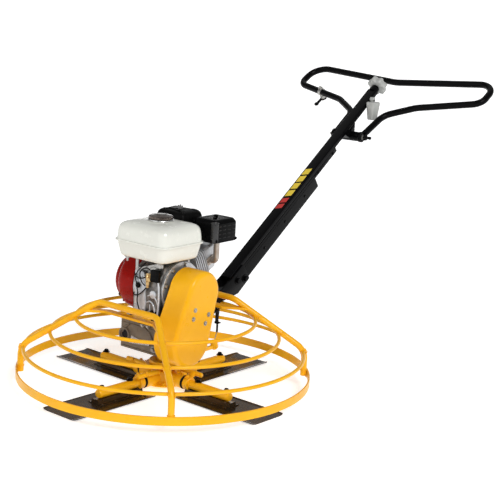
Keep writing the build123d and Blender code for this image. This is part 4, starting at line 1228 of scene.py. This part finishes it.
def build_fold_pivot(at):
    """Cross tube with its web on the pole, and the bolt and clamp knob through it."""
    cross = Shape()
    profile = [(5.6, -53.6), (17, -53.6), (18, -52.6), (18, 52.6), (17, 53.6), (5.6, 53.6)]
    cross.lathe(profile, at, 40, closed=True)
    pivot = POLE.inverted() @ at.translation
    web = [(18.2, 34 - pivot.z), (18.2, -40 - pivot.z), (pivot.y, -16 - pivot.z), (pivot.y, 17 - pivot.z)]
    cross.prism(web, (-POLE_SIDE, POLE_SIDE), POLE @ sideways(0, 0, 0, -1), 1.2)
    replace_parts(cross.piece("cross_tube", "enamel_black", 40), "handlebar_crosstube")
    head = Shape()
    head.bolt(sideways(-66.6, FOLD_Y, FOLD_Z, -1), 17, 6)
    head.piece("fold_bolt_head", "enamel_black", 40)
    bolt = Shape()
    bolt.lathe([(0, -81), (5, -81), (5, 80), (0, 80)], at, 20)
    bolt.lathe([(5, 66.4), (10, 66.4), (10, 68), (5, 68)], at, 28)
    bolt.lathe([(5, 68.4), (9, 68.4), (10, 69.2), (10, 73.2), (9, 74), (5, 74)], at, 28)
    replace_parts(bolt.piece("fold_pivot_bolt", "zinc", 40), "fold_bolt")
    knob = Shape()
    levels = ((0.86, 74.4), (0.97, 75), (1, 76.5), (1, 82), (0.94, 83.6), (0.85, 84))
    knob.loft([fluted(10.9, 1.1, 6, 72, h, scale) for scale, h in levels], at)
    knob.lathe([(6.4, 84), (5.4, 86), (5.2, 96), (6, 99), (6, 102), (4.6, 104), (0, 104)], at, 28)
    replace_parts(knob.piece("fold_clamp_knob", "plastic_black", 40, body="fold_knob"), "fold_knob")


def build_throttle():
    bend = Vector((-178, 222, 0))
    direction = (Vector((-422, 296, 0)) - bend).normalized()
    centre = bend + direction * 117
    clamp = Shape()
    ring = [(12.8, -7), (15.4, -7), (16.2, -6.2), (16.2, 6.2), (15.4, 7), (12.8, 7)]
    clamp.lathe(ring, BAR @ place(centre, direction), 40, closed=True)
    seat = BAR @ place(centre, DOWN)
    clamp.lathe([(0, 15), (10, 15), (11, 16), (11, 27), (10, 28), (0, 28)], seat, 36)
    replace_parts(clamp.piece("throttle_bracket", "zinc", 40, body="handlebar"), "throttle_clamp")
    screw = Shape()
    screw.bolt(BAR @ place(centre + Vector((0, 0, 18.4))), 10, 6, stud=2)
    screw.piece("throttle_clamp_screw", "zinc", body="handlebar")
    lever = Shape()
    lever.lathe([(0, 28.4), (13, 28.4), (14, 29.2), (14, 32.6), (13, 33.4), (0, 33.4)], seat, 36)
    arm = BAR @ place(centre + Vector((0, 0, -33.4)))
    lever.prism(block_outline(6, 26, 5, 6, -6, -26), (0, 5), arm, 1.2)
    lever.prism(block_outline(8.5, 9, 7, 6, -6, -43), (-1.4, 6.4), arm, 2.2)
    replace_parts(lever.piece("throttle_thumb_lever", "enamel_black", 40, body="throttle_lever"),
        "throttle_lever")


def build_cable():
    """Sleeves of the pitch cable and the bare wire between its jacket and the yoke."""
    fitting = Shape()
    low = place((40, 220, 150))
    fitting.lathe([(3.1, 0), (3.7, 0), (3.7, 26), (3.1, 26)], low, 20, closed=True)
    fitting.prism(hexagon(8), (28, 32), low, 0.4)
    fitting.prism(hexagon(8), (37, 41), low, 0.4)
    fitting.piece("cable_adjuster", "jacket", 40)
    boot = Shape()
    profile = [(3.1, 44)]
    for k in range(9):
        profile += [(3.9 - 0.05 * k, 46 + 4 * k), (3.4 - 0.02 * k, 48 + 4 * k)]
    boot.lathe(profile + [(3.2, 82)], low, 20)
    boot.piece("cable_boot", "rubber", 60)
    stay = Shape()
    shelf = round_polygon([(24, 222), (34, 212), (47, 212), (47, 232), (24, 232)], 3)
    stay.prism(shelf, (180, 183.4), WORLD, 0.8)
    hanger = round_polygon([(24, 180), (28, 180), (28, 231), (24, 231)], 1)
    stay.prism(hanger, (226, 232), place((0, 0, 0), BACKWARD) @ Matrix.Scale(-1, 4, BACKWARD), 0.6)
    stay.piece("cable_stay", "enamel_black", 35)
    wire = Shape()
    top, low_end = Vector((40, 220, 152)), Vector((40, 208, 118))
    wire.tube([low_end.lerp(top, k / 8) for k in range(9)], 1.5, 8)
    obj = wire.cord("pitch_wire", "zinc")
    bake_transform(obj)


# ---------------------------------------------------------------- CAD nodes that stay
def dress_nodes():
    kept = {
        "enamel_yellow": ("guard_band", "guard_front_frame", "guard_rear_frame", "guard_mount_bars"),
        "machined": ("gearbox_bearings", "output_shaft", "worm_shaft", "crankshaft"),
        "iron": ("input_pulley", "clutch_drum", "flywheel"),
        "enamel_black": ("belt_backplate",),
        "rubber": ("drive_belt",),
        "heat_tint": ("exhaust_pipe",),
        "jacket": ("pitch_cable",),
        "bronze": ("worm_wheel",),
        "zinc": ("pitch_screw",),
    }
    for look, names in kept.items():
        for name in names:
            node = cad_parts[name]
            node.data.materials.clear()
            node.data.materials.append(LOOKS[look][0])


# ---------------------------------------------------------------- studio
def bearing(azimuth, elevation):
    """Direction from the object; azimuth 0 is its front and 90 its right."""
    az, el = math.radians(azimuth), math.radians(elevation)
    return Vector((math.sin(az) * math.cos(el), -math.cos(az) * math.cos(el), math.sin(el)))


def build_studio():
    material, tree, shader, where = tree_of("studio_floor")
    tone = spread(tree, noise(tree, where, 1.6, 4), 0.3, 0.7, 0, 1)
    tree.links.new(mix(tree, tone, (0.90, 0.90, 0.90), (0.93, 0.93, 0.93)), shader.inputs["Base Color"])
    shader.inputs["Roughness"].default_value = 0.9
    shader.inputs["Specular IOR Level"].default_value = 0.1
    shader.inputs["Emission Color"].default_value = (1, 1, 1, 1)
    shader.inputs["Emission Strength"].default_value = 0.52
    floor = Shape()
    # a wide flat floor whose far rim rises softly, so that no horizon shows
    level, rise, rim_height = 20000, 45000, 9000
    rings = [lift(disc(66000, 64), -40), lift(disc(66000, 64), rim_height + 10)]
    for k in range(9):
        share = 1 - k / 8
        rings.append(lift(disc(level + rise * share, 64), rim_height * share * share * (3 - 2 * share)))
    rings.append(lift(disc(4000, 64), 0))
    floor.loft(rings)
    mesh = floor.mesh("floor", weld=False)
    mesh.materials.append(material)
    obj = add_object("floor", mesh)

    world = bpy.data.worlds.new("studio")
    world.use_nodes = True
    background = world.node_tree.nodes["Background"]
    background.inputs["Color"].default_value = (1, 1, 1, 1)
    background.inputs["Strength"].default_value = 0.24
    bpy.context.scene.world = world
    bpy.context.scene.view_settings.view_transform = "Standard"
    for name, azimuth, elevation, strength, spread_degrees in (
        ("key", 68, 38, 1.7, 24),
        ("fill", -18, 30, 0.5, 50),
        ("back", 215, 50, 0.3, 60),
    ):
        light = bpy.data.lights.new(name, "SUN")
        light.energy = strength
        light.angle = math.radians(spread_degrees)
        lamp = add_object(name, light)
        lamp.rotation_euler = bearing(azimuth, elevation).to_track_quat("Z", "Y").to_euler()


def build_camera():
    forward = -bearing(41.76, 18.44)
    right = forward.cross(Vector(UP)).normalized()
    up = right.cross(forward)
    yaw, pitch, roll = (math.radians(v) for v in (3.8, 6.36, 1.88))
    forward = forward * math.cos(yaw) + right * math.sin(yaw)
    right = forward.cross(up).normalized()
    forward = forward * math.cos(pitch) + up * math.sin(pitch)
    up = right.cross(forward)
    right, up = right * math.cos(roll) + up * math.sin(roll), up * math.cos(roll) - right * math.sin(roll)
    matrix = Matrix((right, up, -forward)).transposed().to_4x4()
    matrix.translation = Vector((2.618, -2.932, 1.311))
    camera = bpy.data.cameras.new("camera")
    camera.sensor_width = 36
    camera.lens = 88.61
    camera.clip_end = 1000
    obj = add_object("camera", camera)
    obj.matrix_world = matrix
    bpy.context.scene.camera = obj


build_camera()
build_studio()
build_guard()
build_rotor()
build_thrust_pair()
build_pitch_yoke()
build_gearbox()
build_belt_cover()
build_tank()
build_fan_cover()
build_engine()
build_controls()
build_air_cleaner()
build_muffler()
build_carburetor()
build_base()
build_handle()
build_stripes()
build_knob()
build_handlebar()
build_throttle()
build_cable()
dress_nodes()
